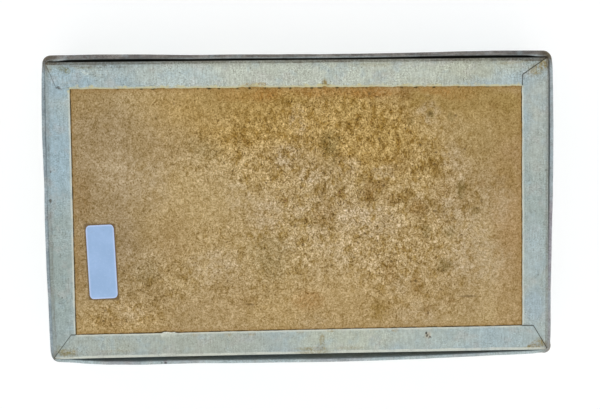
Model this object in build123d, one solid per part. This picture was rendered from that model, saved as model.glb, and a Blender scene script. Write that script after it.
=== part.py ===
from build123d import *
import math
import os

# Flat set-up box for a dozen bars of bow rosin, lying on its lid with the underside of its tray up.
# A shallow tray of strawboard, covered with a strip of pale blue-grey paper that is folded over onto
# the underside, stands mouth down in a telescoping lid of the same make. The twelve bars lie on the
# inside of the lid, in three columns of four, and the tray comes down round them.
# Frame: millimetres, +Z out of the tray's underside, X along the length, Y across it.
# Origin: centre of the lid's outer face, on the surface that the box lies on.

# ---- driving dimensions -------------------------------------------------------------------------
BOARD = 0.85          # strawboard
PAPER = 0.125         # covering paper
LAP = 0.20            # a pasted lap of the paper over itself, which springs up a little
STAY = 0.14           # gummed stay tape round the corners
SHEET = 0.15          # top sheet pasted on the lid's outer face
LABEL = 0.10          # small stock label on the underside

TRAY_L, TRAY_W = 170.0, 100.56      # tray over its paper
LID_L, LID_W = 172.5, 104.31        # lid over its paper, at the corners
LID_CX, LID_CY = 0.0, 0.625        # the lid's centre: the tray lies against one side of it
TRAY_BOW = (0.45, 0.10, -0.30, 0.0) # how far the tray's sides bulge at the underside: -X, +X, -Y, +Y
LID_BOW = (0.60, 0.58, 1.60, -0.45) # how far the lid's sides bulge at the rim: -X, +X, -Y, +Y

LID_SHEET_TOP = SHEET                         # inner face of the top sheet's edge
LID_Z0 = SHEET + PAPER                        # outer face of the lid's board
LID_FLOOR = LID_Z0 + BOARD                    # inner face of the lid
LID_RIM = 19.35                               # lid's rim, over its paper
TRAY_MOUTH = LID_FLOOR + 0.125                # tray's mouth, over its paper
TRAY_TOP = 19.875                             # outer face of the tray's board: the bare underside
FLAP_TOP = TRAY_TOP + PAPER                   # face of the turned-in paper, the highest plane but for laps
CORNER_R = 1.6                                # upright corners, over the board
EDGE_R = 0.9                                  # folded edge between wall and face, over the board
TURN_IN = 11.0                                # paper turned over the mouth and down the inside
LID_TURN_OVER = 12.0                          # paper turned over onto the lid's outer face
STAY_LEG = 12.0                               # each leg of a corner stay

# window in the turned-in paper, where the board of the underside is bare
WINDOW = [(-77.33, -41.87), (75.91, -41.54), (75.62, 40.61), (-76.97, 41.30)]
# mitred ends that lie over the neighbouring flap, one at each corner of the underside
LAPS = {
    "top_left": [(-84.25, 49.45), (-81.27, 41.68), (-77.0, 41.31), (-76.9, 49.6)],
    "bottom_left": [(-84.15, -49.3), (-78.68, -41.94), (-77.3, -41.88), (-76.9, -49.4)],
    "bottom_right": [(75.9, -49.45), (75.91, -41.55), (79.60, -41.60), (84.0, -49.3)],
    "top_right": [(75.66, 40.62), (84.2, 40.6), (84.2, 49.9), (75.95, 44.49)],
}

LABEL_C, LABEL_L, LABEL_W, LABEL_R, LABEL_TURN = (-67.81, -17.03), 25.1, 9.45, 1.3, -88.0

BARS_X, BARS_Y = 3, 4
BAR_L, BAR_W, BAR_T = 54.4, 23.2, 15.0        # one cast bar of rosin
BAR_DRAFT = 0.55                              # how much each long side leans in over the bar's thickness
BAR_R, BAR_END_R = 1.3, 0.7
BAND_W = 27.0                                 # paper band round the bar
PITCH_X, PITCH_Y = 55.93, 24.59
# how each bar lies, a little out of line: x, y in mm and turn in degrees
LIE = [(0.10, -0.08, 0.15), (-0.12, 0.10, -0.12), (0.05, 0.12, 0.10), (0.14, -0.05, -0.15),
       (-0.08, -0.10, 0.12), (0.10, 0.06, 0.08), (-0.15, 0.00, -0.10), (0.06, 0.10, 0.14),
       (0.00, -0.12, -0.08), (-0.10, 0.05, 0.12), (0.12, -0.02, -0.12), (-0.05, 0.08, 0.06)]


# ---- outlines and shells ------------------------------------------------------------------------
def side(a, b, bulge, normal):
    """One side of an outline, from a to b, standing out by bulge at its middle."""
    if abs(bulge) < 1e-4:
        return Line(a, b)
    mid = tuple((p + q) / 2 + n * bulge for p, q, n in zip(a, b, normal))
    return ThreePointArc(a, mid, b)


def corner(cx, cy, r, z, start):
    at = [(cx + r * math.cos(math.radians(start + t)), cy + r * math.sin(math.radians(start + t)), z) for t in (0, 45, 90)]
    return ThreePointArc(*at)


def outline(hx, hy, r, z, bow, cx=0.0, cy=0.0):
    """Rounded rectangle whose sides bulge: eight edges, in the same order at every height."""
    w, e, s, n = bow
    x0, x1, y0, y1 = cx - hx, cx + hx, cy - hy, cy + hy
    return Wire([
        side((x1, y0 + r, z), (x1, y1 - r, z), e, (1, 0, 0)),
        corner(x1 - r, y1 - r, r, z, 0),
        side((x1 - r, y1, z), (x0 + r, y1, z), n, (0, 1, 0)),
        corner(x0 + r, y1 - r, r, z, 90),
        side((x0, y1 - r, z), (x0, y0 + r, z), w, (-1, 0, 0)),
        corner(x0 + r, y0 + r, r, z, 180),
        side((x0 + r, y0, z), (x1 - r, y0, z), s, (0, -1, 0)),
        corner(x1 - r, y0 + r, r, z, 270),
    ])


class Case:
    """An open case whose sides bulge at one end and straighten towards the other, with a folded, rounded edge round its face."""

    def __init__(self, hx, hy, cx, cy, z_mouth, z_face, bow_mouth, bow_face):
        self.hx, self.hy, self.cx, self.cy = hx, hy, cx, cy
        self.z_mouth, self.z_face, self.bow_mouth, self.bow_face = z_mouth, z_face, bow_mouth, bow_face
        self.up = 1 if z_face > z_mouth else -1

    def bow(self, z):
        t = (z - self.z_mouth) / (self.z_face - self.z_mouth)
        return tuple(a + (b - a) * t for a, b in zip(self.bow_mouth, self.bow_face))

    def at(self, z, grow):
        return outline(self.hx + grow, self.hy + grow, max(0.3, CORNER_R + grow), z, self.bow(z), self.cx, self.cy)

    def outer(self, grow=0.0):
        """Solid inside the case's outer skin; grow is measured from the board's outer face, at the mouth too."""
        radius = EDGE_R + grow
        centre = self.z_face - self.up * EDGE_R
        wires = [self.at(self.z_mouth - self.up * grow, grow)]
        for a in (0, 22.5, 45, 67.5, 90):
            t = math.radians(a)
            wires.append(self.at(centre + self.up * radius * math.sin(t), grow - radius * (1 - math.cos(t))))
        if self.up < 0:
            wires.reverse()
        return Solid.make_loft(wires, True)

    def inner(self, grow):
        """Solid inside the outline grown by grow, running past the case at both ends."""
        lo, hi = sorted((self.z_mouth, self.z_face))
        return Solid.make_loft([self.at(lo - 1.5, grow), self.at(hi + 1.5, grow)], True)


def block(x0, x1, y0, y1, z0, z1):
    return Pos((x0 + x1) / 2, (y0 + y1) / 2, (z0 + z1) / 2) * Box(x1 - x0, y1 - y0, z1 - z0)


def plate(points, z0, z1):
    face = Face(Wire.make_polygon([(x, y, z0) for x, y in points], close=True))
    return Solid.extrude(face, Vector(0, 0, z1 - z0))


def corners(case, z0, z1, leg):
    """Boxes that hold the four upright corners of a case."""
    hx, hy, cx, cy, big = case.hx, case.hy, case.cx, case.cy, 5.0
    return [block(cx + sx * (hx - leg) if sx > 0 else cx - hx - big, cx + hx + big if sx > 0 else cx - (hx - leg),
                  cy + sy * (hy - leg) if sy > 0 else cy - hy - big, cy + hy + big if sy > 0 else cy - (hy - leg), z0, z1)
            for sx in (-1, 1) for sy in (-1, 1)]


def slab(z0, z1):
    return block(-150, 150, -150, 150, min(z0, z1), max(z0, z1))


def shells(case, z_inner_face, face_cut, turn_in):
    """The board, the four corner stays let into its skin, and the covering strip of a case."""
    body, skin = case.outer(), case.outer(PAPER)
    board_in, paper_in = case.inner(-BOARD), case.inner(-BOARD - PAPER)
    mouth = case.z_mouth - case.up * PAPER
    beyond = case.z_mouth - case.up * 3
    board = body - (board_in & slab(beyond, z_inner_face))
    ring = (body - case.inner(-STAY)) & slab(case.z_mouth, case.z_face - case.up * (EDGE_R + 0.1))
    stays = [(ring & c).solid() for c in corners(case, -5, 30, STAY_LEG)]
    for stay in stays:
        board = board - stay
    strip = skin - body - (paper_in & slab(beyond, case.z_mouth))
    strip = strip + ((board_in - paper_in) & slab(case.z_mouth, mouth + case.up * turn_in))
    strip = strip - face_cut
    return board, stays, strip


# ---- tray ---------------------------------------------------------------------------------------
tray = Case(TRAY_L / 2 - PAPER, TRAY_W / 2 - PAPER, 0, 0, TRAY_MOUTH + PAPER, TRAY_TOP, (0, 0, 0, 0), TRAY_BOW)
window = plate(WINDOW, TRAY_TOP - 0.5, FLAP_TOP + 0.5)
tray_board, tray_stays, strip = shells(tray, TRAY_TOP - BOARD, window, TURN_IN)
for points in LAPS.values():
    strip = strip + plate(points, FLAP_TOP, FLAP_TOP + LAP)

label = Pos(LABEL_C[0], LABEL_C[1], TRAY_TOP + LABEL / 2) * Rot(0, 0, LABEL_TURN) * Box(LABEL_L, LABEL_W, LABEL)
label = fillet(label.edges().filter_by(Axis.Z), LABEL_R)

# ---- lid ----------------------------------------------------------------------------------------
lid = Case(LID_L / 2 - PAPER, LID_W / 2 - PAPER, LID_CX, LID_CY, LID_RIM - PAPER, LID_Z0, LID_BOW, (0, 0, 0, 0))
under_sheet = (LID_CX - LID_L / 2 + LID_TURN_OVER, LID_CX + LID_L / 2 - LID_TURN_OVER,
               LID_CY - LID_W / 2 + LID_TURN_OVER, LID_CY + LID_W / 2 - LID_TURN_OVER)
lid_board, lid_stays, cover = shells(lid, LID_FLOOR, block(*under_sheet, 0, LID_Z0 + 0.2), TURN_IN)

inset = EDGE_R + PAPER + 0.15
sheet = block(LID_CX - LID_L / 2 + inset, LID_CX + LID_L / 2 - inset, LID_CY - LID_W / 2 + inset, LID_CY + LID_W / 2 - inset, 0, SHEET)
sheet = fillet(sheet.edges().filter_by(Axis.Z), 0.8)
sheet = sheet + block(*under_sheet, SHEET / 2, LID_Z0)

# ---- the dozen bars -----------------------------------------------------------------------------
def bar_profile(grow):
    """Section of a bar across its length: its broad open-mould face is down, and its sides lean in."""
    w0, w1 = BAR_W / 2, BAR_W / 2 - BAR_DRAFT
    pts = [(-w0, 0), (w0, 0), (w1, BAR_T), (-w1, BAR_T)]
    with BuildSketch(Plane.YZ) as s:
        with BuildLine():
            Polyline(*pts, close=True)
        make_face()
        fillet(s.vertices(), BAR_R)
        if grow:
            offset(amount=grow)
    return s.sketch


def bar_and_band():
    full = extrude(bar_profile(0), BAR_L / 2, both=True)
    ends = full.faces().filter_by(Axis.X)
    solid = fillet(ends.edges(), BAR_END_R)
    sleeve = extrude(bar_profile(PAPER), BAND_W / 2, both=True) - extrude(bar_profile(0), BAND_W, both=True)
    return solid, sleeve


bar, band = bar_and_band()

# ---- write --------------------------------------------------------------------------------------
os.makedirs("parts", exist_ok=True)
nodes = {
    "tray_board": tray_board,
    "tray_cover_strip": strip,
    "stock_label": label,
    "lid_board": lid_board,
    "lid_cover_strip": cover,
    "lid_top_sheet": sheet,
}
for n in range(4):
    nodes[f"tray_corner_stay_{n + 1}"] = tray_stays[n]
    nodes[f"lid_corner_stay_{n + 1}"] = lid_stays[n]
for n in range(BARS_X * BARS_Y):
    i, j = n % BARS_X, n // BARS_X
    dx, dy, turn = LIE[n]
    at = Pos((i - (BARS_X - 1) / 2) * PITCH_X + dx, (j - (BARS_Y - 1) / 2) * PITCH_Y + dy, LID_FLOOR + PAPER) * Rot(0, 0, turn)
    nodes[f"rosin_cake_{n + 1:02d}"] = at * bar
    nodes[f"paper_band_{n + 1:02d}"] = at * band

for name, shape in nodes.items():
    export_step(shape, f"parts/{name}.step")
    if "_0" not in name and "_1" not in name:
        print(name, "solids", len(shape.solids()), "volume", round(shape.volume, 1), "valid", all(s.is_valid for s in shape.solids()), shape.bounding_box())
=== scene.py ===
import bpy
import math
import numpy as np
from mathutils import Matrix, Vector


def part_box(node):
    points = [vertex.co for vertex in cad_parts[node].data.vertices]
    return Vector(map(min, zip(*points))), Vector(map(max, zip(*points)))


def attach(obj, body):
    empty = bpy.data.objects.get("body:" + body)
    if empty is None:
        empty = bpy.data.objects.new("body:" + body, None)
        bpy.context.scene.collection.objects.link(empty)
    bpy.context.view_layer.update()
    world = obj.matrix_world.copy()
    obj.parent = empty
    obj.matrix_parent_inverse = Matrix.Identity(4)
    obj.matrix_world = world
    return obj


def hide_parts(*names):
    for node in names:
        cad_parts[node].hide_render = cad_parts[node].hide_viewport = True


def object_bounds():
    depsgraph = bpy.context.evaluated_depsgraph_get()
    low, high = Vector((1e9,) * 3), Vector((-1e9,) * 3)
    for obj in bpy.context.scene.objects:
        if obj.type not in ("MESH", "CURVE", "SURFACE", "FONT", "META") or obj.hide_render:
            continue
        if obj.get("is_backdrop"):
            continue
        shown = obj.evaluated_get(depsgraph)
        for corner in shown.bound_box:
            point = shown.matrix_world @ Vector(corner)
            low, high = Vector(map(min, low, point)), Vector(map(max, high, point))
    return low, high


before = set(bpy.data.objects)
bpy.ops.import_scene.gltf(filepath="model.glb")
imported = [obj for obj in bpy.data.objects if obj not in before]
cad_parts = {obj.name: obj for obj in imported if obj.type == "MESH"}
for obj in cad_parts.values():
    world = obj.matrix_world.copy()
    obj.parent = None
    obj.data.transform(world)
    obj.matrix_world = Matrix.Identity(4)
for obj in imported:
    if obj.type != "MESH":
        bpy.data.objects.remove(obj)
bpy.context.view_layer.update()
MM = 0.001
scene = bpy.context.scene

# ---- the box's construction, in millimetres, as the frame has it ---------------------------------
BOARD, PAPER, EDGE_R, CORNER_R = 0.85, 0.125, 0.9, 1.6
TRAY_TOP = 19.875
FLAP_TOP = TRAY_TOP + PAPER
LID_RIM = 19.35
WINDOW = {"top": [(-77.0, 41.30), (-50, 41.23), (-17, 41.13), (17, 40.99), (51, 40.82), (75.7, 40.61)],
          "bottom": [(-77.4, -41.87), (-50, -41.84), (-17, -41.68), (17, -41.59), (40, -41.58), (56, -41.62), (75.9, -41.54)],
          "left": [(-41.9, -77.33), (0, -77.12), (41.3, -76.97)],
          "right": [(-41.5, 75.91), (0, 75.80), (40.6, 75.62)]}


# ---- repeatable noise ----------------------------------------------------------------------------
def lattice(ix, iy, seed):
    h = (ix.astype(np.int64) * 374761393 + iy.astype(np.int64) * 668265263 + seed * 974634777) & 0xFFFFFFFF
    h = ((h ^ (h >> 13)) * 1274126177) & 0xFFFFFFFF
    return ((h ^ (h >> 16)) & 0xFFFF) / 32767.5 - 1


def noise(x, y, seed=1):
    x, y = np.broadcast_arrays(np.asarray(x, float), np.asarray(y, float))
    ix, iy = np.floor(x), np.floor(y)
    fx, fy = x - ix, y - iy
    fx, fy = fx * fx * (3 - 2 * fx), fy * fy * (3 - 2 * fy)
    a, b = lattice(ix, iy, seed), lattice(ix + 1, iy, seed)
    c, d = lattice(ix, iy + 1, seed), lattice(ix + 1, iy + 1, seed)
    return (a * (1 - fx) + b * fx) * (1 - fy) + (c * (1 - fx) + d * fx) * fy


def fbm(x, y, seed=1, octaves=4, gain=0.5):
    total, amp, norm = 0, 1.0, 0.0
    for k in range(octaves):
        total = total + amp * noise(x * 2 ** k + 17.3 * k, y * 2 ** k - 9.1 * k, seed + 7 * k)
        norm += amp
        amp *= gain
    return total / norm


def smooth(v, a, b):
    t = np.clip((np.asarray(v, float) - a) / (b - a), 0, 1)
    return t * t * (3 - 2 * t)


# ---- meshes --------------------------------------------------------------------------------------
def make(name, verts, faces, attributes=None, smooth_shade=True):
    me = bpy.data.meshes.new(name)
    me.from_pydata([tuple(v) for v in (np.asarray(verts, float) * MM)], [], [tuple(int(i) for i in f) for f in faces])
    for key, values in (attributes or {}).items():
        at = me.attributes.new(key, "FLOAT", "POINT")
        at.data.foreach_set("value", np.asarray(values, np.float32))
    me.validate()
    if smooth_shade:
        me.polygons.foreach_set("use_smooth", np.ones(len(me.polygons), bool))
    me.update()
    obj = bpy.data.objects.new(name, me)
    scene.collection.objects.link(obj)
    return obj


def grid_faces(rows, cols, base=0, wrap=False):
    out = []
    for r in range(rows - 1):
        for c in range(cols if wrap else cols - 1):
            d = (c + 1) % cols
            out.append((base + r * cols + c, base + r * cols + d, base + (r + 1) * cols + d, base + (r + 1) * cols + c))
    return out


class Builder:
    """Collects patches of one piece, each a grid with its own attributes."""

    def __init__(self, *attributes):
        self.v, self.f, self.n = [], [], 0
        self.a = {k: [] for k in attributes}

    def patch(self, points, wrap=False, flip=False, **attributes):
        rows, cols = points.shape[:2]
        faces = grid_faces(rows, cols, self.n, wrap)
        self.f += [tuple(reversed(q)) for q in faces] if flip else faces
        self.v.append(points.reshape(-1, 3))
        for k in self.a:
            value = attributes.get(k, 0.0)
            self.a[k].append(np.broadcast_to(np.asarray(value, float), (rows, cols)).reshape(-1))
        self.n += rows * cols

    def done(self, name, weld=None):
        obj = make(name, np.concatenate(self.v), self.f, {k: np.concatenate(v) for k, v in self.a.items()})
        return obj


def solidify(obj, thickness, offset=-1.0):
    m = obj.modifiers.new("thickness", "SOLIDIFY")
    m.thickness, m.offset, m.use_even_offset, m.use_rim = thickness * MM, offset, False, True
    return obj


class Case:
    """Outline of an open case at any height: four bulging sides and four round corners, walked anticlockwise from the +X side's -Y end."""

    def __init__(self, hx, hy, cx, cy, z_mouth, z_face, bow_mouth, bow_face, nx=250, ny=150, nc=9):
        self.hx, self.hy, self.cx, self.cy = hx, hy, cx, cy
        self.z_mouth, self.z_face, self.bow_mouth, self.bow_face = z_mouth, z_face, np.array(bow_mouth), np.array(bow_face)
        side, t = [], []
        for s, n in ((0, ny), (1, nc), (2, nx), (3, nc), (4, ny), (5, nc), (6, nx), (7, nc)):
            side += [s] * n
            t += list(np.arange(n) / n)
        self.side, self.t = np.array(side), np.array(t)

    def bow(self, z):
        k = (z - self.z_mouth) / (self.z_face - self.z_mouth)
        w, e, s, n = self.bow_mouth + (self.bow_face - self.bow_mouth) * k
        return e, n, w, s

    def xy(self, z, grow, extra=0.0, corner=None):
        """Points and outward normals of every column at one height; extra pushes each column out by its own amount."""
        hx, hy, r = self.hx + grow, self.hy + grow, max(0.25, CORNER_R + grow) if corner is None else corner
        e, n, w, s = self.bow(z)
        t, x, y, nx, ny = self.t, np.zeros(len(self.t)), np.zeros(len(self.t)), np.zeros(len(self.t)), np.zeros(len(self.t))
        bulge = 4 * t * (1 - t)
        for k, (ax, ay, bx, by, mx, my, b) in {0: (hx, -hy + r, hx, hy - r, 1, 0, e), 2: (hx - r, hy, -hx + r, hy, 0, 1, n),
                                               4: (-hx, hy - r, -hx, -hy + r, -1, 0, w), 6: (-hx + r, -hy, hx - r, -hy, 0, -1, s)}.items():
            m = self.side == k
            x[m], y[m] = ax + (bx - ax) * t[m] + mx * b * bulge[m], ay + (by - ay) * t[m] + my * b * bulge[m]
            nx[m], ny[m] = mx, my
        for k, (px, py, a0) in {1: (hx - r, hy - r, 0), 3: (-hx + r, hy - r, 90), 5: (-hx + r, -hy + r, 180), 7: (hx - r, -hy + r, 270)}.items():
            m = self.side == k
            a = np.radians(a0 + 90 * t[m])
            x[m], y[m] = px + r * np.cos(a), py + r * np.sin(a)
            nx[m], ny[m] = np.cos(a), np.sin(a)
        return self.cx + x + nx * extra, self.cy + y + ny * extra, nx, ny

    def length(self):
        """Distance walked round the outline, per column."""
        x, y, _, _ = self.xy(self.z_face, 0)
        d = np.hypot(np.diff(x, append=x[0]), np.diff(y, append=y[0]))
        return np.concatenate([[0], np.cumsum(d)[:-1]])


def polyline(points, at):
    p = np.array(points, float)
    return np.interp(at, p[:, 0], p[:, 1])


# ---- materials -----------------------------------------------------------------------------------
def lin(r, g, b):
    return tuple((v / 255 / 12.92) if v <= 10 else ((v / 255 + 0.055) / 1.055) ** 2.4 for v in (r, g, b)) + (1.0,)


class Mat:
    """A node material, written as expressions. P is the place on the object in millimetres, at rest."""

    def __init__(self, name, roughness=0.9, specular=0.3):
        self.m = bpy.data.materials.new(name)
        self.m.use_nodes = True
        self.t = self.m.node_tree
        self.t.nodes.clear()
        self.out = self.t.nodes.new("ShaderNodeOutputMaterial")
        self.b = self.t.nodes.new("ShaderNodeBsdfPrincipled")
        self.t.links.new(self.b.outputs[0], self.out.inputs[0])
        self.b.inputs["Roughness"].default_value = roughness
        self.b.inputs["Specular IOR Level"].default_value = specular
        tc = self.t.nodes.new("ShaderNodeTexCoord")
        self.P = self.vmath("SCALE", tc.outputs["Object"], scale=1000.0)
        sep = self.t.nodes.new("ShaderNodeSeparateXYZ")
        self.t.links.new(self.P, sep.inputs[0])
        self.x, self.y, self.z = sep.outputs

    def put(self, socket, value):
        if value is None:
            return
        if isinstance(value, bpy.types.NodeSocket):
            self.t.links.new(value, socket)
        else:
            socket.default_value = value

    def math(self, op, a, b=None, c=None, clamp=False):
        n = self.t.nodes.new("ShaderNodeMath")
        n.operation, n.use_clamp = op, clamp
        for i, v in enumerate((a, b, c)):
            self.put(n.inputs[i], v)
        return n.outputs[0]

    def vmath(self, op, a, b=None, scale=None):
        n = self.t.nodes.new("ShaderNodeVectorMath")
        n.operation = op
        self.put(n.inputs[0], a)
        self.put(n.inputs[1], b)
        if scale is not None:
            self.put(n.inputs["Scale"], scale)
        return n.outputs["Value"] if op in ("LENGTH", "DISTANCE", "DOT_PRODUCT") else n.outputs[0]

    def vec(self, x, y, z):
        n = self.t.nodes.new("ShaderNodeCombineXYZ")
        for i, v in enumerate((x, y, z)):
            self.put(n.inputs[i], v)
        return n.outputs[0]

    def noise(self, size, detail=2.0, rough=0.5, distort=0.0, at=None, stretch=None, shift=0.0, colour=False):
        """Noise whose features are about size millimetres across, from 0 to 1."""
        v = at or self.P
        if stretch or shift:
            s = stretch or (1, 1, 1)
            place = self.t.nodes.new("ShaderNodeMapping")
            self.put(place.inputs["Vector"], v)
            place.inputs["Location"].default_value = (shift, shift * 1.7, shift * 0.6)
            place.inputs["Scale"].default_value = (1 / s[0], 1 / s[1], 1 / s[2])
            v = place.outputs[0]
        n = self.t.nodes.new("ShaderNodeTexNoise")
        self.put(n.inputs["Vector"], v)
        n.inputs["Scale"].default_value = 1.0 / size
        n.inputs["Detail"].default_value = detail
        n.inputs["Roughness"].default_value = rough
        n.inputs["Distortion"].default_value = distort
        return n.outputs["Color"] if colour else n.outputs[0]

    def cells(self, size, at=None, feature="F1", randomness=1.0):
        n = self.t.nodes.new("ShaderNodeTexVoronoi")
        n.feature = feature
        self.put(n.inputs["Vector"], at or self.P)
        n.inputs["Scale"].default_value = 1.0 / size
        n.inputs["Randomness"].default_value = randomness
        return n.outputs["Distance"]

    def span(self, v, a, b, lo=0.0, hi=1.0, smooth_step=True):
        n = self.t.nodes.new("ShaderNodeMapRange")
        n.interpolation_type = "SMOOTHSTEP" if smooth_step else "LINEAR"
        n.clamp = True
        self.put(n.inputs[0], v)
        for i, k in enumerate((a, b, lo, hi)):
            self.put(n.inputs[1 + i], k)
        return n.outputs[0]

    def mix(self, fac, a, b, blend="MIX"):
        n = self.t.nodes.new("ShaderNodeMix")
        n.data_type, n.blend_type, n.clamp_factor = "RGBA", blend, True
        self.put(n.inputs[0], fac)
        self.put(n.inputs[6], a)
        self.put(n.inputs[7], b)
        return n.outputs[2]

    def attr(self, name):
        n = self.t.nodes.new("ShaderNodeAttribute")
        n.attribute_name = name
        return n.outputs["Fac"]

    def mul(self, *values):
        v = values[0]
        for w in values[1:]:
            v = self.math("MULTIPLY", v, w)
        return v

    def add(self, *values):
        v = values[0]
        for w in values[1:]:
            v = self.math("ADD", v, w)
        return v

    def top(self, *values):
        v = values[0]
        for w in values[1:]:
            v = self.math("MAXIMUM", v, w)
        return v

    def blob(self, at, x, y, rx, ry=None, turn=0.0, inner=0.35):
        """Soft patch centred on (x, y), 1 inside and 0 outside its radii."""
        ry = ry or rx
        if turn:
            a = math.radians(turn)
            ux, uy, vx, vy = math.cos(a) / rx, math.sin(a) / rx, -math.sin(a) / ry, math.cos(a) / ry
            u = self.math("SUBTRACT", self.vmath("DOT_PRODUCT", at, (ux, uy, 0.0)), ux * x + uy * y)
            v = self.math("SUBTRACT", self.vmath("DOT_PRODUCT", at, (vx, vy, 0.0)), vx * x + vy * y)
            return self.span(self.math("SQRT", self.math("MULTIPLY_ADD", u, u, self.math("MULTIPLY", v, v))), 1.0, inner, 0.0, 1.0)
        n = self.t.nodes.new("ShaderNodeVectorMath")
        n.operation = "MULTIPLY_ADD"
        self.put(n.inputs[0], at)
        self.put(n.inputs[1], (1 / rx, 1 / ry, 0.0))
        self.put(n.inputs[2], (-x / rx, -y / ry, 0.0))
        return self.span(self.vmath("LENGTH", n.outputs[0]), 1.0, inner, 0.0, 1.0)

    def segment(self, at, a, b):
        """Distance in millimetres, seen from above, to the line from a to b."""
        flat = self.vmath("MULTIPLY", at, (1.0, 1.0, 0.0))
        p = self.vmath("SUBTRACT", flat, (a[0], a[1], 0.0))
        d = (b[0] - a[0], b[1] - a[1], 0.0)
        k = self.math("DIVIDE", self.vmath("DOT_PRODUCT", p, d), d[0] ** 2 + d[1] ** 2, clamp=True)
        return self.vmath("LENGTH", self.vmath("SUBTRACT", p, self.vmath("SCALE", d, scale=k)))

    def segments(self, at, points):
        total = None
        for a, b in zip(points, points[1:]):
            v = self.segment(at, a, b)
            total = v if total is None else self.math("MINIMUM", total, v)
        return total

    def shade(self, c, v):
        """Colour c made darker or lighter by the factor v."""
        grey = self.t.nodes.new("ShaderNodeCombineColor")
        for s in grey.inputs:
            self.put(s, v)
        return self.mix(1.0, c, grey.outputs[0], blend="MULTIPLY")

    def tone(self, c, swing, k=(0.89, 1.05, 1.54)):
        """Colour c made lighter and darker by swing, the darker parts browner than the lighter."""
        tint = self.t.nodes.new("ShaderNodeCombineColor")
        for s, gain in zip(tint.inputs, k):
            self.put(s, self.math("MAXIMUM", self.math("MULTIPLY_ADD", swing, gain, 1.0), 0.34))
        return self.mix(1.0, c, tint.outputs[0], blend="MULTIPLY")

    def blobs(self, at, items):
        total = None
        for x, y, rx, ry, turn, weight in items:
            v = self.math("MULTIPLY", self.blob(at, x, y, rx, ry, turn), weight)
            total = v if total is None else self.math("ADD", total, v)
        return self.math("MINIMUM", total, 1.0)

    def bump(self, height, strength, distance):
        n = self.t.nodes.new("ShaderNodeBump")
        n.inputs["Strength"].default_value = strength
        n.inputs["Distance"].default_value = distance * MM
        self.put(n.inputs["Height"], height)
        self.put(self.b.inputs["Normal"], n.outputs[0])

    def colour(self, c):
        self.put(self.b.inputs["Base Color"], c)

    def rough(self, v):
        self.put(self.b.inputs["Roughness"], v)


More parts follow.
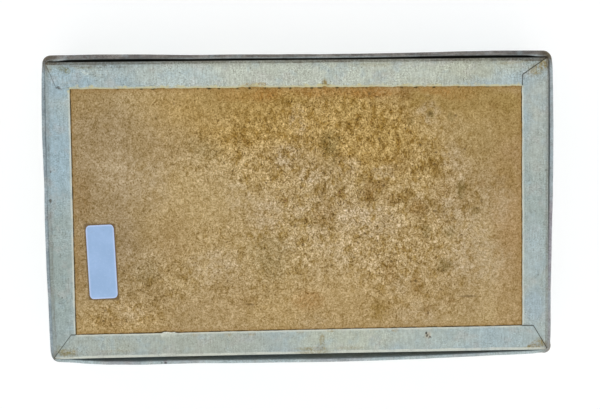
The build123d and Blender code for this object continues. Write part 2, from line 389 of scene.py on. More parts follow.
# ---- strawboard: the bare underside, its stains and foxing ----------------------------------------
def strawboard(name, aged=True):
    M = Mat(name, roughness=0.92, specular=0.2)
    warp = M.vmath("SCALE", M.vmath("SUBTRACT", M.noise(7.0, 3, 0.6, colour=True), (0.5, 0.5, 0.5)), scale=7.0)
    fine_warp = M.vmath("SCALE", M.vmath("SUBTRACT", M.noise(1.6, 3, 0.65, colour=True, shift=3.1), (0.5, 0.5, 0.5)), scale=3.0)
    W = M.vmath("ADD", M.vmath("ADD", M.P, warp), fine_warp)
    if not aged:
        fibre = M.noise(0.5, 3, 0.7)
        tan = M.mix(M.span(M.noise(9, 3, 0.6), 0.35, 0.65), lin(168, 142, 96), lin(184, 160, 114))
        tan = M.shade(tan, M.span(fibre, 0.3, 0.7, 0.72, 1.22, False))
        fleck = M.mul(M.span(M.cells(2.8), 0.16, 0.07), M.span(M.noise(7, 3, 0.6, shift=91.0), 0.48, 0.60))
        tan = M.mix(M.mul(fleck, 0.7), tan, lin(96, 72, 40))
        M.colour(tan)
        M.bump(M.add(M.mul(fibre, 0.6), M.mul(M.noise(2.4, 3, 0.6), 0.6)), 0.6, 0.07)
        return M.m
    # broad tints of the sheet: dull mauve-brown on the left, ochre along the top, warm tan below, rosier on the right
    c = M.mix(M.span(M.noise(30, 2, 0.5), 0.35, 0.65), lin(179, 154, 107), lin(170, 145, 102))
    c = M.mix(M.blobs(W, [(-68, 12, 27, 44, 0, 0.80), (-60, -22, 18, 24, 0, 0.5), (-74, -28, 9, 18, 0, 0.4)]), c, lin(156, 134, 98))
    c = M.mix(M.blobs(W, [(-25, 33, 34, 16, -6, 0.75), (8, 30, 40, 19, -14, 0.8), (30, 22, 32, 22, -30, 0.55), (54, 36, 30, 10, -5, 0.55), (-16, 17, 22, 10, -30, 0.4)]), c, lin(174, 143, 84))
    c = M.mix(M.blobs(W, [(10, -33, 52, 13, 0, 0.45), (-62, -37, 22, 10, 0, 0.5), (30, -14, 40, 24, 0, 0.22), (-38, -6, 18, 24, 15, 0.15)]), c, lin(180, 151, 99))
    c = M.mix(M.blobs(W, [(73, 12, 11, 44, 0, 0.75), (72, -30, 8, 26, 0, 0.45), (70, -8, 7, 12, 0, 0.3)]), c, lin(166, 136, 91))
    c = M.mix(M.blobs(W, [(56, 36, 24, 8, 0, 0.75), (60, 22, 13, 11, -20, 0.5), (-27, 36, 12, 6, 0, 0.35), (-54, 6, 6, 30, 0, 0.25), (72, 31, 9, 13, 0, 0.7), (70, 10, 6, 9, 0, 0.45)]), c, lin(158, 131, 76))
    c = M.mix(M.blobs(W, [(-52, -28, 9, 7, 0, 0.55), (-41, -19, 8, 6, 0, 0.35), (-11, -28, 8, 6, 0, 0.4), (61, 8, 10, 7, 0, 0.3), (-72, 36.5, 10, 7, 0, 0.6), (-41, 24, 9, 9, 0, 0.4), (40, -0.8, 6.5, 6, 0, 0.7), (48, -2, 1, 1, 0, 0.0)]), c, lin(155, 129, 83))
    c = M.mix(M.blobs(W, [(26, -18, 30, 16, 0, 0.42), (-12, -8, 14, 9, 0, 0.25)]), c, lin(190, 165, 120))
    # paler, greyer clouds
    pale = M.blobs(W, [(49.8, -1.6, 5.4, 5.2, 0, 1.0), (-1, -0.6, 5, 5, 0, 0.7), (-62, 16, 9, 7, 20, 0.6), (-56, 9, 15, 10, -25, 0.65), (-49, 14, 8, 6, 0, 0.4), (-0.3, 29.5, 3.2, 6.5, 10, 0.8), (-5, 18, 5, 6, -30, 0.85), (3, 10.5, 3.6, 3.2, 0, 1.0),
                       (-21, 4.5, 5, 7, 20, 0.55), (-12, -2.5, 9, 8, 0, 0.75), (-30, -19, 13, 8, 10, 0.8), (22, -4, 15, 8, -8, 0.85), (6, -10, 6, 7, 40, 0.6), (-4, -12, 4, 6, -30, 0.6)])
    pale2 = M.blobs(W, [(57, -8, 9, 12, 25, 0.9), (60, -18, 15, 12, 0, 0.9), (67, 2, 8, 12, 10, 0.6), (52, 15.5, 6, 9, 10, 0.7), (28, 12, 5.5, 3.5, 0, 0.8), (44, 32.5, 5.5, 5, 0, 0.8),
                        (16, 15, 5, 5, 0, 0.5), (-60, -34, 11, 6, 0, 0.5), (33, -27, 6, 5, 0, 0.6), (40, -37, 12, 6, 0, 0.55), (14, -15, 7, 6, 0, 0.6), (4, -39, 9, 4, 0, 0.45), (38, 6, 8, 4, -30, 0.4)])
    cloud = M.mul(M.math("MINIMUM", M.add(pale, pale2), 1.0), M.span(M.noise(3.2, 4, 0.68, shift=9.0), 0.34, 0.62))
    c = M.mix(M.mul(cloud, 0.80), c, lin(186, 165, 130))
    # foxing: where it lies thick, and its ragged spots in three sizes
    thick = M.blobs(M.P, [(22, 8, 52, 40, -12, 0.9), (6, 22, 44, 26, 0, 0.55), (40, -18, 30, 26, 0, 0.5), (-14, -18, 30, 22, 0, 0.4), (-26, 20, 24, 18, 0, 0.4), (-50, -24, 20, 16, 0, 0.45), (-62, -36, 17, 8, 0, 0.5)])
    thick = M.math("MINIMUM", M.add(thick, 0.14), 1.0)
    up = (1.0, 1.35, 1.0)
    big = M.span(M.noise(4.6, 4, 0.66, 0.5, stretch=up, shift=21.0), 0.54, 0.66)
    mid = M.span(M.noise(2.0, 3, 0.66, 0.4, stretch=up, shift=40.0), 0.54, 0.66)
    small = M.span(M.noise(1.0, 2, 0.6, 0.3, stretch=up, shift=55.0), 0.57, 0.68)
    fox = M.mul(M.math("MINIMUM", M.add(M.mul(big, 0.55), M.mul(mid, 0.60), M.mul(small, 0.50)), 1.0), thick)
    c = M.mix(M.mul(fox, 0.70), c, lin(134, 105, 49))
    # the larger dark stains
    V = M.vmath("ADD", M.P, fine_warp)
    olive = M.blobs(V, [(10, 22.5, 5, 5.5, 10, 0.75), (54.8, 6, 2.3, 4.2, 0, 1.0), (49.0, -20.3, 3.4, 3.2, 0, 1.0), (42.9, -8.2, 2.6, 3.0, 20, 0.7), (50.6, -8.8, 3.0, 3, 0, 0.8), (-32, 20.5, 8.5, 4.5, -20, 0.4),
                        (-11, -14.5, 10, 8, 20, 0.5), (-53, -21, 6, 6, 0, 0.5), (-10, -21, 7, 5, 0, 0.4), (44.1, 31.4, 2.0, 2.2, 0, 1.0), (51.4, 30.6, 1.9, 2.0, 0, 0.7), (37.6, 29.2, 2.0, 2.2, 0, 0.6), (59.5, -1.6, 2.8, 1.8, 0, 0.8), (10, 17, 4, 6, 0, 0.4)])
    brown = M.blobs(V, [(23.2, 5.4, 3.0, 5.4, -8, 1.0), (27.2, 7.6, 3.0, 2.6, 0, 0.8), (40, -0.4, 4.4, 3.8, 0, 0.95), (8, -2.5, 5, 5, 0, 0.5), (30.2, -22.4, 3.4, 5.6, 0, 0.75), (39.2, -26.4, 2.8, 4.6, 0, 0.8), (45.8, 14, 2.4, 5.0, 6, 0.5), (49.4, 5.8, 2.6, 2.4, 0, 0.6), (47.0, 2.4, 2.4, 2.0, 0, 0.4), (35.9, 38.6, 3.6, 4.0, 0, 1.0), (66, 34.4, 3.2, 2.6, 0, 0.45), (70, 9, 5, 6, 0, 0.5), (-42.5, -9, 8, 11, 10, 0.3),
                        (-19, -31.5, 6, 3.6, 0, 0.4), (-65, -38, 6, 3.6, 0, 0.5), (-73.5, 5, 4, 11, 0, 0.5), (-75.5, -19, 3, 12, 0, 0.55), (34, 15, 6, 5, 0, 0.5), (31, 3, 4, 3, 0, 0.5), (50.6, -32.3, 2.4, 2.2, 0, 0.6), (42.9, -35.4, 1.6, 3.0, 0, 0.7), (62, 7.6, 2.0, 2.2, 0, 0.6)])
    rust = M.blobs(V, [(-11, 38.8, 8, 3.2, 5, 0.9), (-23, 38.5, 8, 3, 0, 0.4), (46, 39.6, 8, 2.4, -3, 0.6), (54, 38.2, 9, 3.4, 0, 0.4), (2, -31.5, 7.5, 5, 0, 0.5), (6, 39.4, 13, 2.6, 0, 0.75), (24, 39.0, 13, 2.8, 0, 0.9)])
    ochre = M.blobs(V, [(26, -35.4, 4.4, 5.6, 10, 0.9), (45.8, 14, 3.4, 6.6, 6, 0.9), (39.4, 36.4, 5.4, 4.4, 0, 0.8), (17, 33, 8, 5, 0, 0.4), (-3, 37, 10, 3.4, 0, 0.5), (30, 24, 9, 6, -20, 0.35), (39.2, -26.4, 3.0, 4.8, 0, 0.5), (30.2, -22.4, 3.8, 5.8, 0, 0.5), (-14, 30, 12, 7, 0, 0.3)])
    grain = M.span(M.noise(1.2, 4, 0.75, stretch=up, shift=71.0), 0.34, 0.62, 0.25, 1.0)
    c = M.mix(M.mul(ochre, grain, 0.85), c, lin(146, 117, 55))
    c = M.mix(M.mul(olive, grain, 0.85), c, lin(120, 101, 54))
    c = M.mix(M.mul(brown, grain, 0.85), c, lin(134, 101, 48))
    c = M.mix(M.mul(rust, grain, 0.85), c, lin(158, 111, 48))
    # fibres and grit of the board itself, stronger where the foxing has raised them
    busy = M.mul(M.add(0.63, M.mul(thick, 0.55)), M.span(M.x, 16, 52, 1.0, 0.86))
    heaped = M.mul(M.add(0.24, M.mul(thick, 0.72)), M.span(cloud, 0.0, 0.9, 1.0, 0.35))
    swirl = M.vmath("ADD", M.P, M.vmath("SCALE", M.vmath("SUBTRACT", M.noise(4.0, 2, 0.5, colour=True, shift=5.0), (0.5, 0.5, 0.5)), scale=5.0))
    streak_a = M.noise(0.48, 2, 0.6, at=swirl, stretch=(1, 2.6, 1), shift=11.0)
    streak_b = M.noise(0.46, 2, 0.6, at=swirl, stretch=(2.6, 1, 1), shift=12.0)
    grit = M.noise(0.50, 2, 0.62, shift=13.0)
    lumps = M.noise(1.15, 3, 0.65, stretch=up, shift=83.0)
    fibre = M.add(M.mul(streak_a, 0.36), M.mul(streak_b, 0.26), M.mul(grit, 0.38))
    clumps = M.noise(2.7, 4, 0.62, 0.5, stretch=up, shift=101.0)
    banks = M.noise(6.0, 3, 0.6, 0.6, shift=113.0)
    swing = M.mul(M.span(fibre, 0.35, 0.65, -0.82, 0.93, False), busy)
    heaps = M.mul(M.add(M.span(lumps, 0.30, 0.70, -0.28, 0.23, False), M.span(clumps, 0.34, 0.58, -0.34, 0.14), M.span(banks, 0.32, 0.68, -0.17, 0.13, False)), heaped)
    c = M.tone(c, M.add(heaps, 0.035), (0.82, 1.03, 1.70))
    c = M.tone(c, M.add(swing, -0.045), (0.89, 1.03, 1.50))
    # the darkest specks
    pepper = M.mul(M.span(M.cells(1.9, at=W), 0.20, 0.08), M.span(M.noise(5, 3, 0.6, shift=91.0), 0.46, 0.60), thick)
    c = M.mix(M.mul(pepper, 0.45), c, lin(104, 77, 34))
    F = M.vmath("ADD", M.P, M.vmath("SCALE", M.vmath("SUBTRACT", M.noise(0.6, 2, 0.6, colour=True, shift=17.0), (0.5, 0.5, 0.5)), scale=0.7))
    spots = M.blobs(F, [(-9.0, 38.5, 0.5, 0.5, 0, 0.8), (-48.4, 31.2, 0.35, 0.6, 30, 0.8), (-42.3, 36.0, 0.35, 0.6, 0, 0.7), (-57.5, 5.8, 0.5, 0.4, 0, 0.7), (23.6, 38.6, 0.6, 0.6, 0, 0.8), (19.6, 29.9, 0.6, 0.6, 0, 0.9),
                        (44.3, 31.6, 0.7, 0.8, 0, 0.7), (53.0, 30.9, 0.7, 0.6, 0, 0.6), (40.9, 21.1, 0.6, 0.8, 0, 0.9), (46.2, 18.5, 0.6, 0.5, 0, 1.0), (50.6, 18.0, 0.6, 0.5, 0, 0.7), (56.1, 19.6, 0.6, 0.5, 0, 0.7)])
    spots2 = M.blobs(F, [(37.5, 25.3, 0.6, 0.6, 0, 0.7), (28.2, 7.5, 0.8, 0.6, 0, 0.8), (40.8, 9.8, 0.7, 0.6, 0, 0.7), (60.4, -0.8, 0.7, 0.6, 0, 0.7), (61.7, 1.8, 0.6, 0.9, 0, 0.6), (45.6, -1.5, 0.9, 0.6, 0, 0.8), (21.7, -8.8, 0.7, 0.6, 0, 0.9),
                         (24.0, -9.9, 0.5, 0.5, 0, 0.8), (30.7, -18.5, 0.7, 0.6, 0, 0.8), (39.0, -25.4, 0.6, 0.9, 0, 0.8), (57.0, -31.0, 4.2, 0.55, 0, 0.6), (43.2, -36.5, 0.5, 0.8, 0, 0.7)])
    spots3 = M.blobs(F, [(0.5, -12.2, 0.7, 0.7, 0, 0.7), (2.7, -6.0, 0.6, 0.6, 0, 0.6), (10.2, -19.5, 0.7, 0.6, 0, 0.6), (47.6, -28.5, 0.6, 0.6, 0, 0.6), (-17.8, -32.5, 2.2, 0.45, -5, 0.6), (-54.7, -26.9, 0.5, 0.5, 0, 0.6), (-67.0, -33.6, 0.6, 0.5, 0, 0.7), (-7.6, -17.1, 0.6, 0.6, 0, 0.6)])
    c = M.mix(M.mul(M.math("MINIMUM", M.add(spots, spots2, spots3), 1.0), 0.80), c, lin(84, 62, 32))
    # dirt and paste along the paper's cut edges, and beside them a thin dark line: painted shadow of the paper's edge,
    # with dirt flecks along the top edge
    jag = M.mul(M.math("SUBTRACT", M.noise(1.1, 3, 0.6, shift=33.0), 0.5), 1.1)
    sides = {"left": [(-77.33, -41.9), (-76.97, 41.3)], "right": [(75.91, -41.54), (75.62, 40.61)], "top": [(-77.0, 41.30), (75.7, 40.62)], "bottom": [(-77.4, -41.87), (0, -41.62), (75.9, -41.54)], "torn": [(-57.0, -41.70), (-49.0, -41.56), (-47.3, -41.30), (-43.6, -41.22)]}
    near, shade_and_dirt_line = None, None
    for key, (wide, strong) in {"left": (0.56, 0.90), "right": (0.44, 0.80), "top": (0.64, 0.85), "bottom": (0.52, 0.90), "torn": (0.30, 0.9)}.items():
        d = M.segments(M.P, sides[key])
        near = d if near is None else M.math("MINIMUM", near, d)
        broken = M.span(M.noise(3.0, 3, 0.6, shift=65.0 + wide * 30), 0.36, 0.56, 0.45, 1.0) if key != "top" else M.add(0.14, M.blobs(M.P, [(-61, 41.03, 0.50, 0.62, 0, 0.5), (-53, 40.99, 0.75, 0.62, 0, 0.8), (-49.2, 40.98, 0.94, 0.62, 0, 0.9), (-34.2, 40.91, 0.50, 0.62, 0, 0.6), (-30.4, 40.89, 1.00, 0.62, 0, 1), (-27, 40.88, 0.62, 0.62, 0, 0.8), (-20.9, 40.85, 0.62, 0.62, 0, 0.8), (-16.8, 40.83, 0.69, 0.62, 0, 1), (-11.5, 40.81, 0.50, 0.62, 0, 0.6), (-6.8, 40.79, 0.75, 0.62, 0, 0.9), (-3.1, 40.77, 0.62, 0.62, 0, 0.9), (4.1, 40.74, 0.75, 0.62, 0, 1), (6.9, 40.73, 1.12, 0.62, 0, 0.7), (12.7, 40.70, 0.75, 0.62, 0, 0.9), (15.2, 40.69, 0.50, 0.62, 0, 0.5), (22.5, 40.66, 0.50, 0.62, 0, 0.5), (34.6, 40.60, 0.62, 0.62, 0, 0.7), (39.4, 40.58, 1.00, 0.62, 0, 0.9), (45.6, 40.55, 0.75, 0.62, 0, 0.9), (54, 40.52, 0.62, 0.62, 0, 0.6), (63.8, 40.47, 0.88, 0.62, 0, 0.6), (70.2, 40.44, 0.75, 0.62, 0, 0.5)]))
        v = M.mul(M.span(M.add(d, M.mul(jag, 0.12)), wide, wide * 0.45), broken, strong)
        shade_and_dirt_line = v if shade_and_dirt_line is None else M.math("MAXIMUM", shade_and_dirt_line, v)
    c = M.mix(M.mul(M.span(M.add(near, jag), 2.0, 0.3), 0.36), c, lin(152, 116, 62))
    c = M.mix(shade_and_dirt_line, c, lin(66, 53, 27))
    # painted shadow round the label's edge
    ring = M.segments(M.P, [(-72.91, -4.4), (-63.59, -4.55), (-62.63, -29.67), (-72.1, -29.5), (-72.91, -4.4)])
    c = M.mix(M.mul(M.span(M.add(ring, M.mul(jag, 0.25)), 0.85, 0.15), 0.80), c, lin(104, 84, 56))
    M.colour(c)
    M.rough(M.span(fibre, 0.3, 0.7, 0.96, 0.86))
    relief = M.add(M.mul(fibre, 0.8), M.mul(lumps, 0.5), M.mul(M.noise(3.0, 3, 0.6, shift=61.0), 0.9), M.mul(fox, -0.15))
    M.bump(relief, 0.5, 0.08)
    return M.m


# ---- the pale covering paper ---------------------------------------------------------------------
def covering(name, where):
    """where is tray, lid or sheet: the same paper, with the marks that each piece has."""
    M = Mat(name, roughness=0.86, specular=0.25)
    warp = M.vmath("SCALE", M.vmath("SUBTRACT", M.noise(4.0, 4, 0.65, colour=True), (0.5, 0.5, 0.5)), scale=4.0)
    W = M.vmath("ADD", M.P, warp)
    small_warp = M.vmath("SCALE", M.vmath("SUBTRACT", M.noise(0.9, 3, 0.65, colour=True, shift=6.0), (0.5, 0.5, 0.5)), scale=1.3)
    S = M.vmath("ADD", M.P, small_warp)
    c = M.mix(M.span(M.noise(26, 3, 0.55), 0.38, 0.64), lin(163, 177, 178), lin(172, 181, 174))
    if where == "tray":
        c = M.mix(M.blobs(W, [(-84, 18, 12, 30, 0, 0.9), (-78, 44, 12, 8, 0, 0.8), (-64, 43, 14, 4, 0, 0.3), (74, 43, 7, 4, 0, 0.3), (60, -46, 30, 8, 0, 0.45)]), c, lin(157, 179, 188))
        c = M.mix(M.blobs(W, [(-20, 46, 46, 9, 0, 1.0), (30, 46, 46, 9, 0, 1.0)]), c, lin(187, 192, 178))
        c = M.mix(M.blobs(W, [(62, 47, 22, 6, 0, 0.7), (40, 42, 22, 2.6, 0, 0.4)]), c, lin(181, 183, 163))
        c = M.mix(M.blobs(W, [(-38, 45, 16, 6, 0, 0.8), (70, 43.5, 7, 5, 0, 0.6)]), c, lin(180, 192, 189))
        c = M.mix(M.blobs(W, [(-34, -46, 38, 9, 0, 0.8), (-70, -46, 18, 8, 0, 0.7)]), c, lin(168, 173, 160))
        c = M.mix(M.blobs(W, [(14, -45, 26, 7, 0, 0.75), (46, -45, 20, 7, 0, 0.35)]), c, lin(183, 187, 168))
        c = M.mix(M.blobs(W, [(81, 0, 8, 46, 0, 0.6), (-82, -20, 7, 34, 0, 0.9)]), c, lin(151, 164, 159))
        c = M.mix(M.blobs(W, [(81, 20, 5, 16, 0, 0.5), (81, 36, 6, 10, 0, 0.6)]), c, lin(180, 184, 173))
        c = M.mix(M.blobs(W, [(80, -15, 5, 15, 0, 0.8), (-81, -10, 4, 8, 0, 0.3)]), c, lin(171, 184, 184))
        c = M.mix(M.blobs(W, [(80, -35, 6, 9, 0, 0.75), (-83, 41, 4, 6, 0, 0.5)]), c, lin(160, 177, 184))
        soil = M.span(M.noise(0.8, 4, 0.72, shift=44.0), 0.38, 0.62, 0.25, 1.0)
        tan = M.blobs(S, [(83.4, 47.6, 2.6, 2.8, 20, 0.8), (81.0, -48.5, 4.6, 1.7, 8, 0.9), (82.0, -47.0, 2.2, 1.8, 0, 0.7), (78.4, -49.2, 3.6, 0.8, 6, 0.6), (6.6, -45.4, 1.3, 3.0, 0, 0.95), (3.0, -48.3, 8.0, 1.0, -2, 0.85),
                          (6.6, -47.4, 2.6, 1.6, 0, 0.7), (15.5, -48.2, 8.0, 0.7, 0, 0.5), (-80, -47.9, 5.5, 1.7, -4, 0.95), (-64, -47.6, 10, 0.7, 0, 0.28), (26, 48.3, 16, 1.0, 0, 0.35), (74, 48.8, 9, 0.9, 4, 0.6), (80.9, 46.4, 4.8, 3.0, 25, 0.85)])
        edge = M.blobs(S, [(-15.5, 41.6, 6.2, 1.7, 0, 0.9), (-12.6, 42.1, 1.8, 0.9, 0, 0.8), (35.7, 41.3, 2.0, 0.8, 0, 0.8), (44.2, 41.2, 2.6, 0.8, 0, 0.7), (-36.5, -42.4, 2.0, 0.9, 0, 0.55), (-25.6, -42.7, 1.8, 1.2, 0, 0.5),
                           (-17.4, -42.6, 1.6, 1.0, 0, 0.6), (-0.9, -42.2, 2.0, 0.7, 0, 0.6), (9.4, -42.0, 2.2, 0.8, 0, 0.7), (24.5, -42.0, 2.0, 0.6, 0, 0.6), (31.7, -42.3, 1.6, 0.9, 0, 0.8), (22, 41.3, 7, 0.6, 0, 0.5), (-2, 41.4, 7, 0.6, 0, 0.5)])
        green = M.blobs(S, [(-79.0, 48.0, 3.0, 1.2, -14, 0.9), (-77.5, 47.2, 1.4, 1.4, 0, 0.8), (-71.5, 48.2, 5.0, 0.8, -3, 0.5), (-82.6, -46.8, 1.6, 2.4, 30, 0.6), (-80.5, -48.3, 3.5, 0.9, -6, 0.7)])
        c = M.mix(M.mul(tan, soil, 0.95), c, lin(146, 131, 84))
        c = M.mix(M.mul(edge, soil, 0.95), c, lin(156, 130, 70))
        c = M.mix(M.mul(green, soil, 0.98), c, lin(118, 115, 70))
        notch = M.blobs(S, [(8.5, 41.7, 1.5, 3.0, 0, 1.0), (7.2, 41.3, 1.3, 1.5, 0, 0.9), (9.9, 41.2, 1.3, 1.3, 0, 0.8)])
        c = M.mix(M.mul(notch, M.span(M.noise(0.6, 2, 0.6, stretch=(0.6, 3, 1), shift=37.0), 0.34, 0.60, 0.45, 1.0)), c, lin(146, 128, 74))
        scuff = M.mul(M.blobs(S, [(-66, 48.6, 13, 0.9, -1, 0.8), (-77, 49.0, 5, 0.8, -4, 0.7), (62, 49.0, 18, 0.7, 2, 0.4)]), M.span(M.noise(1.0, 3, 0.6, stretch=(2.6, 0.8, 1), shift=54.0), 0.42, 0.58, 0.1, 1.0))
        c = M.mix(M.mul(scuff, 0.7), c, lin(112, 106, 90))
        olive = M.mul(M.math("MINIMUM", M.add(M.blobs(S, [(80.6, -48.7, 4.6, 1.1, 6, 1.0), (82.6, -47.6, 1.5, 1.5, -50, 1.0), (79.6, -47.3, 1.6, 0.5, 35, 0.7), (77.2, -49.3, 1.4, 0.5, 0, 0.8)]), M.blobs(S, [(84.0, 48.6, 1.8, 2.6, -35, 0.9), (83.3, 50.0, 3.0, 0.8, 30, 0.8), (-83.6, 48.0, 1.2, 2.0, 25, 0.6)])), 1.0), soil)
        c = M.mix(M.mul(olive, 0.85), c, lin(128, 114, 68))
        torn = M.blobs(S, [(-45.6, -41.42, 2.9, 0.70, 2, 1.0), (-51.5, -41.85, 4.0, 0.35, 2, 0.5)])
        c = M.mix(M.mul(torn, 0.9), c, lin(236, 234, 216))
        dots = M.blobs(S, [(9.9, 46.5, 0.5, 0.5, 0, 0.8), (-84.1, 13.6, 0.45, 0.6, 0, 0.8), (-84.4, 3.9, 0.7, 0.8, 0, 1.0), (-84.4, 21.4, 0.4, 1.8, 0, 0.45), (-84.5, -1.0, 0.35, 1.5, 0, 0.5), (-84.3, -6.0, 0.3, 3.0, 0, 0.35),
                           (-81.5, -29.1, 0.5, 0.5, 0, 0.8), (-82.2, -30.9, 0.4, 0.3, 0, 0.6), (83.9, 12.0, 0.4, 0.6, 0, 0.6), (-80.6, 41.7, 0.9, 0.6, -20, 0.8), (-79.9, 41.3, 0.9, 0.3, -10, 0.6), (68.4, -46.8, 0.3, 0.9, 10, 0.45), (70.2, -47.4, 0.3, 0.7, 10, 0.4), (69.6, -46.2, 0.4, 0.3, 0, 0.35)])
        c = M.mix(M.mul(dots, 0.85), c, lin(58, 56, 48))
        flecks = M.blobs(S, [(-53, 41.31, 0.45, 0.4, 0, 0.55), (-49.2, 41.30, 0.8, 0.4, 0, 0.55), (-34.2, 41.23, 0.35, 0.3, 0, 0.55), (-30.4, 41.21, 0.8, 0.4, 0, 0.55), (-27, 41.20, 0.45, 0.4, 0, 0.7), (-20.9, 41.17, 0.45, 0.3, 0, 0.7), (-16.8, 41.15, 0.45, 0.3, 0, 0.9), (-6.8, 41.11, 0.6, 0.4, 0, 0.55), (-3.1, 41.09, 0.45, 0.4, 0, 0.7), (4.1, 41.06, 0.6, 0.3, 0, 0.9), (12.7, 41.02, 0.6, 0.4, 0, 0.9), (34.6, 40.92, 0.45, 0.3, 0, 0.55), (39.4, 40.90, 0.8, 0.4, 0, 0.55), (45.6, 40.87, 0.6, 0.3, 0, 0.7), (54, 40.84, 0.6, 0.3, 0, 0.7), (63.8, 40.79, 0.8, 0.4, 0, 0.7), (70.2, 40.76, 0.8, 0.3, 0, 0.55)])
        c = M.mix(M.mul(flecks, 0.75), c, lin(92, 80, 50))
        halo = M.blobs(S, [(43.1, -44.3, 1.5, 1.5, -40, 0.8)])
        c = M.mix(M.mul(halo, 0.55), c, lin(186, 164, 124))
        chip = M.blobs(S, [(42.45, -43.5, 0.5, 0.75, -15, 1.0), (42.9, -44.3, 0.5, 0.8, -25, 1.0), (43.9, -44.9, 0.5, 0.6, 30, 0.9), (43.4, -45.2, 0.35, 0.5, 0, 0.7)])
        c = M.mix(M.mul(chip, 0.95), c, lin(44, 36, 24))
        # painted highlights on small ridges in the paper by the upper left corner
        ridge_highlight = M.mul(M.blobs(M.P, [(-70, 47.2, 9, 2.6, -4, 0.9), (-78, 45, 4, 4, 0, 0.5)]), M.span(M.noise(0.9, 2, 0.5, at=S, stretch=(2.6, 0.7, 1), shift=77.0), 0.50, 0.66))
        c = M.mix(M.mul(ridge_highlight, 0.55), c, lin(198, 204, 194))
        # ends of the over-laid flaps at the corners: a painted shadow along each cut end, with dirt settled there and
        # dark smudges near the corners
        lines = {"TR": ([(75.74, 41.0), (75.86, 44.55), (84.60, 50.5)], 0.23, 0.95), "BR": ([(75.9, -41.46), (79.66, -41.54), (84.4, -49.5)], 0.23, 0.95),
                 "BL": ([(-77.3, -41.78), (-78.80, -41.84), (-84.95, -49.9)], 0.20, 0.85), "TL": ([(-81.35, 41.6), (-84.5, 49.1)], 0.20, 0.60)}
        lap_shadow_and_dirt = None
        for pts, wide, strong in lines.values():
            v = M.mul(M.span(M.add(M.segments(M.P, pts), M.mul(M.math("SUBTRACT", M.noise(1.2, 2, 0.5, shift=88.0), 0.5), 0.12)), wide, wide * 0.35), strong)
            lap_shadow_and_dirt = v if lap_shadow_and_dirt is None else M.math("MAXIMUM", lap_shadow_and_dirt, v)
        wedge = M.blobs(S, [(-78.2, -41.9, 1.0, 0.35, 0, 0.9), (84.5, 46.9, 0.6, 0.9, -20, 0.7), (83.9, -49.2, 1.0, 0.6, -45, 0.5)])
        lap_shadow_and_dirt = M.math("MAXIMUM", lap_shadow_and_dirt, M.mul(wedge, 0.8))
    if where == "lid":
        c = M.mix(M.span(M.noise(44, 3, 0.6, shift=7.0), 0.45, 0.66, 0.0, 0.55), c, lin(182, 182, 168))
        soil = M.span(M.noise(1.6, 4, 0.7, shift=46.0), 0.40, 0.66)
        drip = M.span(M.noise(9, 4, 0.7, 0.6, shift=64.0, stretch=(1, 1, 0.7)), 0.56, 0.72)
        c = M.mix(M.mul(drip, soil, 0.42), c, lin(160, 142, 104))
        low = M.mul(M.span(M.z, 4.5, 0.4), M.span(M.noise(5, 4, 0.65, shift=36.0), 0.30, 0.64))
        c = M.mix(M.mul(low, 0.6), c, lin(139, 131, 112))
        handled = M.mul(M.span(M.z, 11.0, 18.6), M.span(M.noise(7, 4, 0.65, shift=38.0), 0.42, 0.70))
        c = M.mix(M.mul(handled, 0.42), c, lin(150, 144, 128))
        rim = M.span(M.z, 16.6, 18.4)
        # the rim's colour by side, part its own tone and part painted light and shade: paler along −Y, darkest along
        # +Y, own tones on the ±X rims, and grey patches along −Y, the one near x = −62 painted shade from the gap
        tint = M.mix(M.span(M.noise(9, 3, 0.6, shift=58.0), 0.40, 0.62), lin(168, 182, 184), lin(182, 194, 194))
        tint = M.mix(M.blobs(M.P, [(12, -52, 14, 4, 0, 0.7), (-40, -52, 8, 4, 0, 0.5), (-62, -52, 9, 4, 0, 0.9), (58, -52, 10, 4, 0, 0.4), (-47.2, -51.9, 1.0, 1.0, 0, 1.0)]), tint, lin(158, 160, 164))
        tint = M.mix(M.span(M.x, 83.8, 84.9), tint, M.mix(M.span(M.y, -2, 6), lin(153, 150, 157), lin(160, 170, 174)))
        tint = M.mix(M.span(M.x, -84.0, -85.0), tint, M.mix(M.span(M.noise(6, 3, 0.6), 0.4, 0.6), lin(140, 154, 161), lin(156, 169, 175)))
        tint = M.mix(M.span(M.y, 50.8, 51.6), tint, M.mix(M.span(M.noise(2.2, 3, 0.7, stretch=(5, 1, 1), shift=19.0), 0.38, 0.62), lin(98, 93, 91), lin(128, 122, 118)))
        c = M.mix(M.mul(rim, 0.92), c, tint)
        spot = M.blobs(S, [(-47.2, -52.3, 0.8, 0.6, 0, 1.0), (-48.5, -52.2, 0.5, 0.4, 0, 0.6)])
        c = M.mix(M.mul(spot, rim, 0.85), c, lin(60, 64, 62))
        c = M.mix(M.mul(M.blobs(S, [(84.8, 51.2, 2.0, 1.7, -35, 0.9)]), rim, 0.85), c, lin(124, 109, 70))
        lap_shadow_and_dirt = None
        # where the strip's end laps over its beginning, on the long side away from the light
        seam_x = M.math("ABSOLUTE", M.math("SUBTRACT", M.x, M.add(31.5, M.mul(M.math("SUBTRACT", M.noise(5, 2, 0.5), 0.5), 0.5))))
        seam = M.mul(M.span(seam_x, 0.22, 0.08), M.span(M.y, 40, 42))
        c = M.mix(M.mul(seam, 0.6), c, lin(96, 92, 82))
    if where == "sheet":
        lap_shadow_and_dirt = None
        rub = M.span(M.noise(6, 5, 0.72, 0.8, shift=73.0), 0.52, 0.68)
        c = M.mix(M.mul(rub, 0.5), c, lin(150, 146, 130))
        ring = M.span(M.noise(18, 3, 0.6, 1.4, shift=53.0), 0.55, 0.66)
        c = M.mix(M.mul(ring, 0.35), c, lin(166, 152, 118))
    c = M.mix(M.mul(M.span(M.noise(5.5, 3, 0.6, shift=131.0), 0.50, 0.68), 0.30), c, lin(182, 178, 172))
    c = M.mix(M.mul(M.span(M.noise(4.5, 3, 0.6, shift=151.0), 0.50, 0.68), 0.30), c, lin(160, 180, 187))
